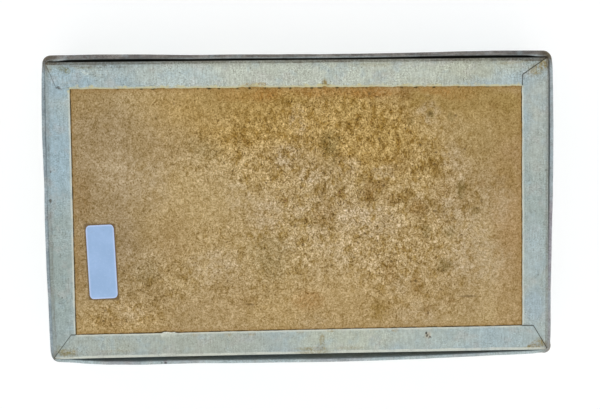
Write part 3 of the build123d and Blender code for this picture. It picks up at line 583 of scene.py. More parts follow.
    # laid lines, fibres and specks
    lines_ = M.noise(0.5, 2, 0.5, stretch=(1, 6, 6) if where != "lid" else (6, 6, 1), shift=3.0)
    fibres = M.noise(0.48, 2, 0.6, shift=5.0)
    cloudy = M.noise(1.4, 4, 0.65, shift=15.0)
    grainy = M.add(0.58, M.mul(M.span(M.y, 39.0, 43.0), 0.24))
    patchy = M.span(M.noise(7.0, 3, 0.6, shift=69.0), 0.36, 0.64, 0.55, 1.35)
    swing = M.add(M.mul(M.span(fibres, 0.32, 0.68, -0.33, 0.33, False), grainy, patchy), M.mul(M.span(lines_, 0.32, 0.68, -0.17, 0.17, False), grainy), M.span(cloudy, 0.30, 0.70, -0.13, 0.13, False))
    c = M.tone(c, swing, (0.96, 1.0, 1.08))
    hair = M.mul(M.span(M.cells(1.9, at=S), 0.21, 0.07), M.span(M.noise(6, 2, 0.5, shift=27.0), 0.50, 0.60), grainy)
    c = M.mix(M.mul(hair, 0.7), c, lin(92, 90, 76))
    # cut edges are cream, and the folds along −Y take the same cream as a painted highlight; folds are rubbed; seams
    # hold dirt, and on the lid's inner wall the seam colour is painted shade
    cut = M.attr("cut")
    frayed_cut_and_highlight = M.add(cut, M.mul(M.math("SUBTRACT", M.noise(0.6, 3, 0.6, shift=29.0), 0.5), 0.5))
    if where == "tray":
        frayed_cut_and_highlight = M.math("SUBTRACT", frayed_cut_and_highlight, M.mul(M.span(M.noise(2.4, 3, 0.6, shift=119.0), 0.50, 0.66), M.span(M.y, 39.0, 41.0), 0.75))
    c = M.mix(M.mul(M.span(frayed_cut_and_highlight, 0.85, 0.16), M.span(M.noise(5, 3, 0.6, shift=49.0), 0.34, 0.54, 0.45, 1.0), 0.82), c, M.mix(M.mul(M.span(M.y, 39.0, 41.0), M.span(M.y, 46.0, 44.0)), lin(212, 215, 201), lin(202, 194, 148)))
    wear = M.attr("wear")
    rubbed = M.span(M.add(wear, M.mul(M.math("SUBTRACT", M.noise(1.3, 4, 0.7, shift=31.0), 0.5), 0.9)), 0.52, 0.92)
    c = M.mix(M.mul(M.span(wear, 0.10, 0.75), 0.45), c, lin(136, 134, 122))
    c = M.mix(M.mul(rubbed, 0.75), c, M.mix(M.noise(0.5, 3, 0.7), lin(122, 106, 74), lin(164, 148, 112)))
    # grime and painted shade: dirt at the folds, and the shade at the folds and in the gap by the lid, in a darker
    # colour towards +Y
    grime = M.attr("grime")
    streaks = M.span(M.noise(0.7, 3, 0.65, shift=51.0), 0.30, 0.66, 0.60, 1.0)
    c = M.mix(M.mul(grime, streaks, 0.95), c, M.mix(M.span(M.y, 45, 49), lin(104, 95, 80), lin(80, 71, 57)))
    if where == "tray":
        # painted shade: a near-black band on the +Y wall just under the fold, where the gap by the lid is in shadow
        gap_shade_band = M.mul(M.span(M.z, 19.68, 19.50), M.span(M.z, 18.75, 19.15), M.span(M.y, 47.0, 49.0))
        c = M.mix(M.mul(gap_shade_band, 0.88), c, lin(42, 34, 22))
        smear = M.mul(M.blobs(S, [(3.6, -49.5, 9.0, 0.9, 1, 0.9), (-80, -49.0, 4.5, 0.8, -4, 0.5)]), soil)
        c = M.mix(M.mul(smear, 0.85), c, lin(142, 132, 94))
    # dirt in the tray's corner seams, and painted shade on the lid's inner wall
    seam_ = M.attr("seam")
    c = M.mix(M.mul(seam_, 0.90), c, lin(58, 43, 24))
    # painted shadow and dirt along the ends of the over-laid flaps
    if lap_shadow_and_dirt is not None:
        c = M.mix(M.mul(lap_shadow_and_dirt, 0.88), c, lin(50, 46, 34))
    M.colour(c)
    M.rough(M.span(wear, 0.0, 1.0, 0.84, 0.95))
    M.bump(M.add(M.mul(fibres, 0.5), M.mul(cloudy, 0.9), M.mul(lines_, 0.25), M.mul(rubbed, -0.9)), 0.5, 0.07)
    return M.m


def rosin():
    M = Mat("rosin_amber", roughness=0.14, specular=0.5)
    depth = M.noise(9, 3, 0.5, 0.5)
    c = M.mix(M.span(depth, 0.35, 0.68), lin(150, 78, 16), lin(206, 126, 34))
    dust = M.mul(M.span(M.noise(1.2, 5, 0.75, shift=8.0), 0.50, 0.68), M.span(M.attr("wear"), 0.05, 0.8, 0.25, 1.0))
    c = M.mix(M.mul(dust, 0.75), c, lin(236, 212, 160))
    M.colour(c)
    M.rough(M.span(dust, 0.0, 1.0, 0.10, 0.7))
    M.b.inputs["Transmission Weight"].default_value = 0.35
    M.b.inputs["IOR"].default_value = 1.54
    M.b.inputs["Subsurface Weight"].default_value = 0.25
    M.b.inputs["Subsurface Radius"].default_value = (0.006, 0.0025, 0.0006)
    M.bump(M.add(M.noise(3.0, 3, 0.6), M.mul(dust, 0.3)), 0.35, 0.12)
    return M.m


def plain_paper(name, a, b, fleck, fine=0.4, roughness=0.85):
    M = Mat(name, roughness=roughness, specular=0.3)
    tone = M.add(M.mul(M.noise(fine, 3, 0.7), 0.5), M.mul(M.noise(4.0, 4, 0.6, shift=3.0), 0.5))
    c = M.mix(M.span(tone, 0.38, 0.62), lin(*a), lin(*b))
    c = M.mix(M.mul(M.span(M.cells(2.2), 0.12, 0.05), 0.5), c, lin(*fleck))
    cut = M.attr("cut")
    c = M.mix(M.mul(M.span(cut, 0.5, 0.1), M.span(cut, 0.0, 0.01), 0.5), c, lin(*b))
    M.colour(c)
    M.bump(tone, 0.4, 0.05)
    return M.m


def label_paper():
    M = Mat("label_paper", roughness=0.55, specular=0.35)
    shade = M.noise(8.0, 3, 0.5)
    c = M.mix(M.span(shade, 0.35, 0.66), lin(148, 178, 215), lin(158, 187, 225))
    c = M.mix(M.mul(M.span(M.noise(0.8, 3, 0.65, shift=4.0), 0.50, 0.70), 0.25), c, lin(176, 202, 234))
    scuff = M.mul(M.span(M.noise(1.4, 4, 0.7, shift=6.0), 0.60, 0.72), 0.30)
    c = M.mix(scuff, c, lin(142, 162, 190))
    c = M.mix(M.mul(M.span(M.attr("cut"), 0.70, 0.15), 0.85), c, lin(190, 207, 240))
    M.colour(c)
    M.bump(M.add(M.noise(0.5, 3, 0.6), M.noise(3.0, 2, 0.5)), 0.25, 0.04)
    return M.m


BOARD_TOP = strawboard("strawboard_bare")
BOARD_IN = strawboard("strawboard_inside", aged=False)
PAPER_TRAY = covering("cover_paper_tray", "tray")
PAPER_LID = covering("cover_paper_lid", "lid")
PAPER_SHEET = covering("cover_paper_sheet", "sheet")
ROSIN = rosin()
BAND = plain_paper("band_paper", (206, 194, 160), (222, 212, 184), (150, 130, 96))
TAPE = plain_paper("stay_tape", (150, 118, 78), (170, 138, 94), (110, 84, 54))
LABEL = label_paper()


def dress(obj, material):
    obj.data.materials.clear()
    obj.data.materials.append(material)
    return obj


# ---- tray: the covering strip --------------------------------------------------------------------
TRAY_ARGS = (84.875, 50.155, 0, 0, 1.375, TRAY_TOP, (0, 0, 0, 0), (0.45, 0.10, -0.30, 0.0))
tray = Case(*TRAY_ARGS)
lid = Case(86.125, 52.03, 0, 0.625, LID_RIM - PAPER, 0.275, (0.60, 0.15, 1.25, -0.45), (0, 0, 0, 0))
FOLD = 1.025          # radius of the folded edge, over the paper
TRAY_CORNER = 0.95    # the paper is drawn tight over the tray's upright corners


def corner_near(case, reach=5.0):
    """1 at the upright corners, fading to 0 along the sides."""
    x, y, _, _ = case.xy(case.z_mouth, 0)
    d = np.hypot(np.maximum(0, case.hx - np.abs(x - case.cx)), np.maximum(0, case.hy - np.abs(y - case.cy)))
    return 1 - smooth(d, 0.6, reach)


def tray_swell(x, y, z):
    """How far the tray's walls stand out from straight, by place along the wall."""
    up = smooth(np.asarray(z, float), 3, 18)
    w = smooth(-x, 83, 84.6) * 0.20
    s = smooth(-y, 48, 49.9) * polyline([(-84, 0.04), (-40, 0.10), (0, 0.16), (40, 0.12), (84, 0.02)], x)
    n = smooth(y, 48, 49.9) * 0.10
    return up * (w + s + n)


b = Builder("wear", "cut", "seam", "grime")
rows = [(12.25, -0.975), (11.9, -0.975), (9.5, -0.975), (7, -0.975), (4.5, -0.975), (2.4, -0.975), (1.62, -0.975), (1.36, -0.93), (1.262, -0.83), (1.25, -0.6), (1.25, -0.25),
        (1.262, -0.02), (1.36, 0.08), (1.62, 0.125)]
rows += [(z, 0.125) for z in np.linspace(2.6, 18.6, 17)]
rows += [(FLAP_TOP - FOLD + FOLD * math.sin(math.radians(a)), 0.125 - FOLD * (1 - math.cos(math.radians(a)))) for a in range(0, 91, 9)]
rows += [(FLAP_TOP - 0.02, -1.25)]
walk = tray.length()
near = corner_near(tray)
tx, ty, _, _ = tray.xy(10, 0)
north, south = smooth(ty, 48.4, 49.8), smooth(-ty, 48.2, 49.6)
east, west = smooth(tx, 83.4, 84.6), smooth(-tx, 83.4, 84.6)
points, wears, seams, cuts, grimes = [], [], [], [], []
for k, (z, grow) in enumerate(rows):
    on_wall = grow > -0.5 and 1.7 < z < 19.0
    sway = 0.05 * fbm(walk / 34, z / 9, 11) + 0.018 * fbm(walk / 5, z / 4, 12) if on_wall else 0.018 * fbm(walk / 5, z / 4, 12) * (z > 1.6)
    r = max(0.22, TRAY_CORNER + grow) if grow > -0.5 or z > 15 else None
    x, y, nx, ny = tray.xy(z, grow, np.minimum(sway, 0.05) - 0.02 * (grow > 0) + tray_swell(tx, ty, z), corner=r)
    points.append(np.stack([x, y, np.full_like(x, z) + 0.012 * fbm(walk / 3, z, 13) * (z > 19)], 1))
    fold = math.exp(-((z - 19.6) / 0.6) ** 2) if grow > -0.9 else 0
    mouth = math.exp(-((z - 1.3) / 0.5) ** 2)
    wears.append(np.clip((0.22 + 0.26 * fbm(walk / 6, 0.3, 14)) * fold * (1 - 0.7 * south) + near * (0.45 * fold + 0.5 * mouth + 0.10) + 0.25 * mouth, 0, 1))
    # painted highlight: the −Y fold's top rows take the cream of a cut edge
    cuts.append(np.where((south > 0.5) & (z > 19.35), 0.28, 0.05 if k == 0 else 9.0))
    # the fold's top rows on every side, and the wall below them along +Y, take grime and painted shade, most along +Y
    # and at the corners
    high = float(smooth(z, 18.9, 19.4))
    deep = float(smooth(z, 17.0, 18.9))
    grimes.append(np.clip(np.maximum(high, 0.55 * deep * north * (0.6 + 0.8 * fbm(walk / 5, z / 3, 17))) * (0.98 * north * (0.85 + 0.3 * fbm(walk / 12, 0.7, 15)) + 0.45 * east + 0.30 * west) + 0.45 * near * high, 0, 1))
    groove = np.zeros(len(x))
    if z > 17.2 and grow > -1.0:
        for s in (1, 3, 5, 7):
            m = tray.side == s
            groove[m] = np.exp(-((tray.t[m] - 0.5) / 0.09) ** 2)
    seams.append(0.75 * groove)
b.patch(np.array(points), wrap=True, wear=np.array(wears), seam=np.array(seams), cut=np.array(cuts), grime=np.array(grimes))
tray_wrap = solidify(b.done("tray_paper_walls"), PAPER)

# the four flaps on the underside: each a sheet from the folded edge to its cut edge, lapped at the mitres
MITRE = {"TL": ((-84.36, 49.18), (-81.27, 41.68)), "TR": ((84.66, 50.46), (75.95, 44.49)), "BR": ((84.29, -49.56), (79.60, -41.65)), "BL": ((-84.83, -49.98), (-78.68, -41.94))}
FLAPS = {
    "top": dict(side=2, edge=[MITRE["TL"][0], MITRE["TL"][1]] + WINDOW["top"] + [(80.5, 41.6), (84.4, 49.4)], rag=0.24, low="over", high="under"),
    "bottom": dict(side=6, edge=[MITRE["BL"][0], MITRE["BL"][1]] + WINDOW["bottom"] + [MITRE["BR"][1], MITRE["BR"][0]], rag=0.07, low="over", high="over"),
    "left": dict(side=4, edge=[(-49.6, -84.2), (-44.0, -77.6)] + WINDOW["left"] + [(44.0, -77.2), (49.6, -84.2)], rag=0.045, low="under", high="under"),
    "right": dict(side=0, edge=[(-49.6, 84.2), (-44.0, 76.2)] + WINDOW["right"] + [(44.49, 75.70), (50.46, 84.66)], rag=0.10, low="under", high="over"),
}
flap_objects = []
for name, spec in FLAPS.items():
    s = spec["side"]
    horizontal = s in (2, 6)
    n = 420 if horizontal else 260
    c = Case(*TRAY_ARGS)
    c.side = np.array([(s - 1) % 8] * 6 + [s] * n + [(s + 1) % 8] * 6)
    c.t = np.array(list(np.linspace(0.5, 1, 6, endpoint=False)) + list((np.arange(n) + 0.5) / n) + list(np.linspace(0, 0.5, 6)))
    bx, by, _, _ = c.xy(10, 0)
    a = math.radians(75)
    g = 0.125 - FOLD * (1 - math.cos(a))
    ox, oy, _, _ = c.xy(TRAY_TOP, g, tray_swell(bx, by, 19), corner=max(0.22, TRAY_CORNER + g))
    oz = FLAP_TOP - FOLD + FOLD * math.sin(a)
    qx, qy, _, _ = c.xy(TRAY_TOP, -0.9, tray_swell(bx, by, 19), corner=0.22)
    along, across = (ox, oy) if horizontal else (oy, ox)
    sign = 1 if s in (2, 0) else -1
    rag = spec["rag"] * (fbm(along / 2.6, s * 3.3, 21 + s, 4, 0.62) + 0.35 * noise(along / 0.45, s, 25))
    inner = polyline(spec["edge"], along)
    if name == "bottom":
        inner = inner + 0.46 * smooth(along, -48.4, -47.4) * (1 - smooth(along, -44.0, -42.9)) * (0.7 + 0.3 * noise(along / 0.6, 2, 5))
    if name == "top":
        inner = inner + 0.9 * np.exp(-((along - 8.6) / 0.7) ** 2) * (0.7 + 0.3 * noise(along / 0.3, 2, 8)) + 0.25 * smooth(along, -20.5, -19) * (1 - smooth(along, -12, -10.8)) * (0.5 + 0.5 * noise(along / 0.5, 3, 9))
    in_window = smooth(along, -80, -76) * (1 - smooth(along, 75, 79)) if horizontal else 1.0
    inner = inner - sign * rag * np.where(in_window > 0.2, 1.0, 0.45)
    lo, hi = (-77.0, 75.9) if horizontal else (-41.7, 41.0)
    over, under = np.zeros(len(along)), np.zeros(len(along))
    for end, ramp in (("low", 1 - smooth(along, lo + 0.1, lo + 1.5)), ("high", smooth(along, hi - 1.5, hi - 0.1))):
        if spec[end] == "over":
            over += ramp
        else:
            under += ramp
    f = np.array([0, 0.02, 0.06, 0.12, 0.2, 0.3, 0.4, 0.5, 0.6, 0.7, 0.8, 0.88, 0.93, 0.96, 0.98, 0.992, 1.0])
    edge_at = np.where(sign * (across - inner) > 0.02, inner, across - sign * 0.02)
    start = qy if horizontal else qx
    pts, wear, cut, seam, grime = [], [], [], [], []
    for k, v in enumerate(f):
        if v == 0:
            w, zz = across, np.full(len(along), oz + 0.004)
        else:
            w = start + (edge_at - start) * v
            w = np.where(sign * (w - edge_at) < 0, edge_at, w)
            to_edge = np.abs(w - edge_at)
            lift = 0.035 + 0.045 * fbm(along / 7, s, 31) + (0.09 * smooth(along, -74, -66) * (1 - smooth(along, -40, -34)) if name == "bottom" else 0)
            lift = lift * (1 - under)
            settle = 0.018 * fbm(along / 4.5, w / 4.5, 33) + 0.02 * fbm(along / 18, w / 12, 34)
            inside = smooth(np.abs(w - start), 0.0, 0.9)
            zz = FLAP_TOP + 0.004 + (PAPER + 0.01) * over * inside - 0.02 * under + lift * (1 - smooth(to_edge, 0, 1.3)) + 0.01 * over * (1 - smooth(to_edge, 0, 1.6)) + settle * (1 - 0.7 * np.maximum(over, under))
        X, Y = (along, w) if horizontal else (w, along)
        pts.append(np.stack([X, Y, np.minimum(zz, 20.235)], 1))
        far = np.abs(w - edge_at)
        outer = np.abs(w - across)
        cut_here = far + np.where((along < lo) | (along > hi), 1.2, 0.0)
        if name == "bottom":
            # painted highlight along the bottom flap's fold, in the cream of a cut edge
            cut_here = np.minimum(cut_here, 0.22 + 2.6 * np.maximum(outer - 0.14, 0))
            cut_here = np.where((along > -48.2) & (along < -43.4), cut_here * 0.35, cut_here)
        cut.append(cut_here)
        corner = smooth(np.abs(ox), 80, 84.4) * smooth(np.abs(oy), 45.5, 49.6)
        # dirt and painted shade along each flap's folded edge, strongest on the +Y flap
        fold_soil_and_shade = {"top": 0.98 * (1 - smooth(outer, 0.12, 0.60)) + 0.34 * np.exp(-((outer - 0.85) / 0.45) ** 2) * (0.5 + 0.5 * fbm(along / 8, 2, 61)),
                  "right": 0.80 * np.exp(-((outer - 0.22) / 0.20) ** 2) * (0.8 + 0.4 * fbm(along / 9, 2, 62)),
                  "left": (0.50 + 0.30 * fbm(along / 6, 2, 63)) * np.exp(-((outer - 0.30) / 0.45) ** 2),
                  "bottom": 0.25 * np.exp(-((outer - 0.9) / 0.35) ** 2) * smooth(-along, 10, 70)}[name]
        grime.append(np.clip(fold_soil_and_shade, 0, 1))
        wear.append(np.clip(0.20 * (1 - smooth(outer, 0.0, 1.1)) * (1 + 0.8 * fbm(along / 6, 0.3, 14)) * (0.3 if name == "bottom" else 1) + 0.35 * corner * (1 - smooth(outer, 0, 2.0)), 0, 1))
        seam.append(np.zeros(len(along)))
    fb = Builder("wear", "cut", "seam", "grime")
    fb.patch(np.array(pts), wear=np.array(wear), cut=np.array(cut), seam=np.array(seam), grime=np.array(grime))
    flap_objects.append(solidify(fb.done(f"tray_paper_flap_{name}"), PAPER))

for o in [tray_wrap] + flap_objects:
    dress(o, PAPER_TRAY)
    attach(o, "tray")
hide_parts("tray_cover_strip")

# ---- lid: board, corner stays and covering strip, all following the same bowed and dipping walls --
walk = lid.length()
near = corner_near(lid, 6.0)
lx, ly, _, _ = lid.xy(19.0, 0)
north, south = smooth(ly, 49, 52), smooth(-ly, 48.5, 50.5)
east, west = smooth(lx, 84, 85.8), smooth(-lx, 84, 85.8)
DIP = 1.5 * smooth(lx, 80, 86) * (1 - smooth(ly, -46, 20)) + 0.35 * smooth(-ly, 46, 51) * smooth(lx, 30, 84) + 0.06 * (1 + fbm(walk / 15, 0.1, 41))
SWELL = (south * polyline([(-86, -0.25), (-80, -0.10), (-75, 0.30), (-67.8, 0.60), (-52.7, 0.38), (-37.6, 0.32), (-22.6, 0.30), (-7.5, 0.28), (7.6, 0.40), (22.6, 0.43), (37.7, 0.35), (52.8, 0.22), (67.8, 0.12), (80, 0.15), (84, 0.20)], lx)
         + east * polyline([(-50, 0.20), (-46, 0.28), (-40, 0.28), (-31, 0.14), (-21, 0.20), (-11.5, 0.20), (-1.8, 0.32), (7.9, 0.38), (17.5, 0.43), (27.2, 0.49), (36.8, 0.37), (46.5, 0.27), (51, 0.0)], ly)
         + west * polyline([(-50, -0.10), (-40, -0.09), (-31, -0.15), (-21, -0.03), (0, -0.05), (8, -0.20), (17.5, -0.03), (27, 0.20), (37, 0.18), (46, 0.10), (50, -0.1)], ly)
         + north * polyline([(-84, -0.10), (-67, 0.18), (-52, 0.12), (-37, -0.12), (-22, 0.0), (-7.5, -0.06), (8, -0.13), (23, -0.12), (38, -0.05), (53, 0.13), (68, 0.18), (80, 0.0), (85, -0.15)], lx))
ARC = np.sin(np.pi * lid.t)
SWELL = np.where(lid.side == 7, SWELL + 0.38 * ARC, np.where(lid.side == 1, SWELL - 0.15 * ARC, SWELL))
THICK = (north * (0.30 + 0.28 * smooth(np.abs(lx), 40, 76) + 0.50 * smooth(np.abs(lx), 77, 83)) + south * 0.05      # swollen paper and paste inside the rim
         + west * (np.maximum(0.85 * SWELL, 0) + 0.06) + east * 0.55 * np.maximum(SWELL, 0))
KINK = south * (0.16 * np.exp(-((lx + 56) / 6) ** 2) - 0.14 * np.exp(-((lx + 37) / 7) ** 2))


def lid_rise(z):
    return float(smooth(z, 2.5, 18.5))


def lid_row(z, grow, inner=False, fine=True):
    """One row of points round the lid's wall; z is the height before the rim's dip."""
    up = lid_rise(z)
    lean = min(max((z - 1.2) / 18.0, 0.0), 1.0)
    sway = (SWELL + KINK) * lean * (z > 1.2)
    if fine and not inner and z > 1.2:
        ripple = (0.06 * fbm(walk / 40, z / 10, 42) + 0.03 * fbm(walk / 6, z / 5, 43)) * (1 - near)
        sway = sway + np.minimum(ripple, 0.04) - 0.02
    if inner:
        sway = sway - THICK * lean
        r = max(0.25, 0.75 + (grow + 0.85)) + 0.45 * lean
    else:
        r = max(0.25, CORNER_R + grow) + 1.15 * lean ** 2
    x, y, nx, ny = lid.xy(min(z, 19.225), grow, sway, corner=r)
    return np.stack([x, np.clip(y, -53.11, 52.775), z - DIP * up], 1)


rows = [(0.155, -3.2, 0), (0.152, -2.2, 0), (0.15, -1.4, 0)]
rows += [(1.175 - 1.025 * math.sin(math.radians(a)), 0.125 - 1.025 * (1 - math.cos(math.radians(a))), 0) for a in range(90, -1, -9)]
rows += [(z, 0.125, 0) for z in np.linspace(2.0, 18.4, 20)]
rows += [(18.80, 0.125, 0)]
rim0 = len(rows)
rows += [(18.98 + 0.37 * math.sin(math.radians(a)), -0.245 + 0.37 * math.cos(math.radians(a)), 0) for a in range(0, 91, 15)]
rows += [(19.35, -0.36, 0)]
rows += [(19.347, -0.44, 1)]
rows += [(18.98 + 0.37 * math.sin(math.radians(a)), -0.605 + 0.37 * math.cos(math.radians(a)), 1) for a in range(105, 181, 15)]
rim1 = len(rows)
rows += [(z, -0.975, 1) for z in (18.7, 18.0, 17.0, 15.5, 13.5, 11.5, 9.6, 8.6, 8.35)]
points, wears, cuts, grimes, seams = [], [], [], [], []
for k, (z, grow, inner) in enumerate(rows):
    p = lid_row(z, grow, bool(inner))
    if rim0 < k < rim1:
        p[:, 2] += 0.02 * fbm(walk / 2.2, k, 44)
    points.append(p)
    rim = 1.0 if rim0 <= k <= rim1 else 0.0
    base = math.exp(-((z - 0.45) / 0.5) ** 2) if k < 20 else 0
    wears.append(np.clip(base * (0.30 + 0.35 * fbm(walk / 7, 0.2, 45)) + rim * (0.06 + 0.16 * fbm(walk / 5, 0.4, 46)) + near * (0.10 + 0.62 * base + 0.28 * rim + 0.20 * (z > 1.2) * (not inner)), 0, 1))
    cuts.append(np.full(len(walk), 0.05 if k == len(rows) - 1 else 9.0))
    # dirt, with painted shade, lies in lines along the +Y rim, and a little along the others; the inner wall below the
    # rim, mostly along +Y and by the corners towards +Y, is painted dark as the shade in the gap
    j = k - rim0
    band = {0: 0.25, 1: 0.55, 2: 0.60, 3: 0.35, 4: 0.10, 5: 0.05, 6: 0.10, 7: 0.35, 8: 0.40, 9: 0.25, 10: 0.15, 11: 0.25, 12: 0.35, 13: 0.45, 14: 0.5, 15: 0.45}.get(j, 0.0) if j >= 0 else 0.0
    if j > 15:
        band = 0.95
    shade_and_dirt_line = band * (0.75 + 0.5 * fbm(walk / 9, j / 3, 47))
    corner_gap_shade = 0.85 * near * smooth(ly, 40, 48) * (1.0 if j >= 6 else 0.45 if j >= 1 else 0.0)
    grimes.append(np.clip(shade_and_dirt_line * (0.85 * north + 0.10 * south + 0.25 * east + 0.30 * west + 0.45 * near) + corner_gap_shade, 0, 1))
    # painted shade: the inner wall along +Y and by the corners towards +Y is darkened as the gap between lid and tray
    # is
    seams.append((0.85 * near * smooth(ly, 44, 49) + 0.45 * north) * smooth(j, 8, 12))
lb = Builder("wear", "cut", "seam", "grime")
lb.patch(np.array(points), wrap=True, wear=np.array(wears), cut=np.array(cuts), grime=np.array(grimes), seam=np.array(seams))
lid_wrap = dress(solidify(lb.done("lid_paper"), PAPER), PAPER_LID)
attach(lid_wrap, "lid")
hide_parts("lid_cover_strip")

# the board beneath, one closed shell, set back where the corner stays are let in
leg = np.minimum(86.25 - np.abs(lx), 52.155 - np.abs(ly - 0.625))
other = np.maximum(86.25 - np.abs(lx), 52.155 - np.abs(ly - 0.625))
stay_here = (other < 12.0)
brows = [(1.175 - 0.9 * math.sin(math.radians(a)), -0.01 - 0.9 * (1 - math.cos(math.radians(a))), 0) for a in range(90, -1, -15)]
brows += [(z, -0.01, 0) for z in (1.26, 1.30, 2.5, 4.5, 7.0, 9.5, 12.0, 14.5, 17.0, 18.6, 19.0)] + [(19.18, -0.05, 0), (19.215, -0.16, 0), (19.215, -0.70, 1), (19.18, -0.80, 1), (19.0, -0.845, 1)]
brows += [(z, -0.845, 1) for z in (17.0, 14.0, 11.0, 8.0, 5.0, 3.0, 1.125)]
shell = []
for z, grow, inner in brows:
    p = lid_row(z, grow, bool(inner), fine=False)
    if not inner and 1.28 < z < 19.1:
        x, y, nx, ny = lid.xy(min(z, 19.225), grow, 0, corner=1.6)
        p[:, 0] -= nx * 0.15 * stay_here
        p[:, 1] -= ny * 0.15 * stay_here
    shell.append(p)
shell = np.array(shell)
R_, C_ = shell.shape[:2]
faces = grid_faces(R_, C_, 0, True) + [tuple(reversed(range(C_))), tuple(range((R_ - 1) * C_, R_ * C_))]
lid_shell = dress(make("lid_strawboard", shell.reshape(-1, 3), faces), BOARD_IN)
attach(lid_shell, "lid")
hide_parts("lid_board")

for k, s in {1: 5, 2: 3, 3: 7, 4: 1}.items():
    quarter = {1: (-1, -1), 2: (-1, 1), 3: (1, -1), 4: (1, 1)}[k]
    pick = np.where(stay_here & (np.sign(lx) == quarter[0]) & (np.sign(ly) == quarter[1]))[0]
    gap = np.where(np.diff(pick) > 1)[0]
    if len(gap):
        pick = np.concatenate([pick[gap[0] + 1:], pick[:gap[0] + 1]])
    strip = np.array([lid_row(z, -0.012, False, fine=False)[pick] for z in np.concatenate([[1.32], np.linspace(2.2, 18.2, 12), [19.05]])])
    sb = Builder("cut", "wear")
    sb.patch(strip, cut=np.full(strip.shape[:2], 9.0))
    stay = dress(solidify(sb.done(f"lid_corner_tape_{k}"), 0.13), TAPE)
    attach(stay, "lid")
    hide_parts(f"lid_corner_stay_{k}")

# ---- stock label: a bare slip with round corners, one of them a little lifted --------------------
L, Wd, R = 25.1, 9.45, 1.45
nu, nv = 90, 40
u = np.linspace(-1, 1, nu)[None, :] * L / 2
v = np.linspace(-1, 1, nv)[:, None] * Wd / 2
U, V = np.broadcast_arrays(u, v)
U, V = U.copy(), V.copy()
over = np.maximum(np.abs(V) - (Wd / 2 - R), 0)
limit = L / 2 - R + np.sqrt(np.maximum(R * R - over ** 2, 0))
U = U * limit / (L / 2)
d_edge = np.minimum(limit - np.abs(U), Wd / 2 - np.abs(V))
curl = 0.10 * smooth(U + V * 0.6, 9.5, 15.0) + 0.05 * smooth(-U + V * 0.5, 11.0, 15.0) + 0.008 * fbm(U / 3, V / 3, 51)
Z = TRAY_TOP + 0.10 + curl
ang = math.radians(-88.0)
X = -67.81 + U * math.cos(ang) - V * math.sin(ang)
Y = -17.03 + U * math.sin(ang) + V * math.cos(ang)
sb = Builder("wear", "cut")
sb.patch(np.stack([X, Y, Z], 2), cut=np.maximum(d_edge, 0))
label = dress(solidify(sb.done("stock_label_slip"), 0.09), LABEL)
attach(label, "tray")
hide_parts("stock_label")

# ---- the dozen bars and their bands --------------------------------------------------------------
BAR_L, BAR_W, BAR_T, BAR_DRAFT, BAR_R, BAR_END = 54.4, 23.2, 15.0, 0.55, 1.3, 0.7


def section(grow, per=7, flat=14):
    """Rounded section of a bar, (y, z) pairs, anticlockwise seen from +X."""
    r = max(0.15, BAR_R + grow)
    out = []
    w0, w1 = BAR_W / 2 - BAR_R, BAR_W / 2 - BAR_DRAFT - BAR_R
    for cy, cz, a0 in ((w0, BAR_R, -90), (w1, BAR_T - BAR_R, 0), (-w1, BAR_T - BAR_R, 90), (-w0, BAR_R, 180)):
        for a in np.linspace(a0, a0 + 90, per):
            out.append((cy + r * math.cos(math.radians(a)), cz + r * math.sin(math.radians(a))))
    dense = []
    for p, q in zip(out, out[1:] + out[:1]):
        far = math.hypot(q[0] - p[0], q[1] - p[1])
        m = flat if far > 5 else 1
        dense += [(p[0] + (q[0] - p[0]) * i / m, p[1] + (q[1] - p[1]) * i / m) for i in range(m)]
    return np.array(dense)


def bar_mesh(name, place, seed):
    ends = [(BAR_L / 2 - BAR_END + BAR_END * math.sin(math.radians(a)), -BAR_END * (1 - math.cos(math.radians(a)))) for a in range(0, 91, 15)]
    stations = [(-x, g) for x, g in reversed(ends)] + [(x, 0) for x in np.linspace(-BAR_L / 2 + 1.5, BAR_L / 2 - 1.5, 34)] + ends
    grid = []
    for x, g in stations:
        s = section(g)
        k = 0.035 * fbm(x / 4 + 3, np.arange(len(s)) / 6, seed)
        cy, cz = s[:, 0], s[:, 1] - BAR_T / 2
        far = np.hypot(cy, cz)
        shrink = np.minimum(k, 0) / far
        grid.append(np.stack([np.full(len(s), x), s[:, 0] * (1 + shrink), BAR_T / 2 + cz * (1 + shrink)], 1))
    grid = np.array(grid)
    # a few chips off the long edges
    rng = np.random.default_rng(seed)
    for _ in range(5):
        cx, sy, sz = rng.uniform(-24, 24), rng.choice((-1, 1)), rng.choice((0.6, BAR_T - 0.6))
        c = np.array([cx, sy * (BAR_W / 2 - 0.6), sz])
        d = np.linalg.norm(grid - c, axis=2)
        grid += (np.array([0, 0, BAR_T / 2]) * [0, 0, 1] + np.array([cx, 0, 0]) - c)[None, None, :] * (0.05 * rng.uniform(0.5, 1.0) * (1 - smooth(d, 0.5, 2.2)))[..., None]
    wear = np.clip(1 - smooth(np.minimum(BAR_W / 2 - np.abs(grid[..., 1]), np.minimum(grid[..., 2], BAR_T - grid[..., 2]) * 3 + 0.2), 0.2, 2.5) + smooth(np.abs(grid[..., 0]), 22, 27), 0, 1)
    rows_, cols_ = grid.shape[:2]
    verts = grid.reshape(-1, 3)
    faces = [tuple(reversed(q)) for q in grid_faces(rows_, cols_, 0, True)]
    faces.append(tuple(range(cols_)))
    faces.append(tuple(reversed(range((rows_ - 1) * cols_, rows_ * cols_))))
    obj = make(name, place(verts), faces, {"wear": wear.reshape(-1)})
    return obj


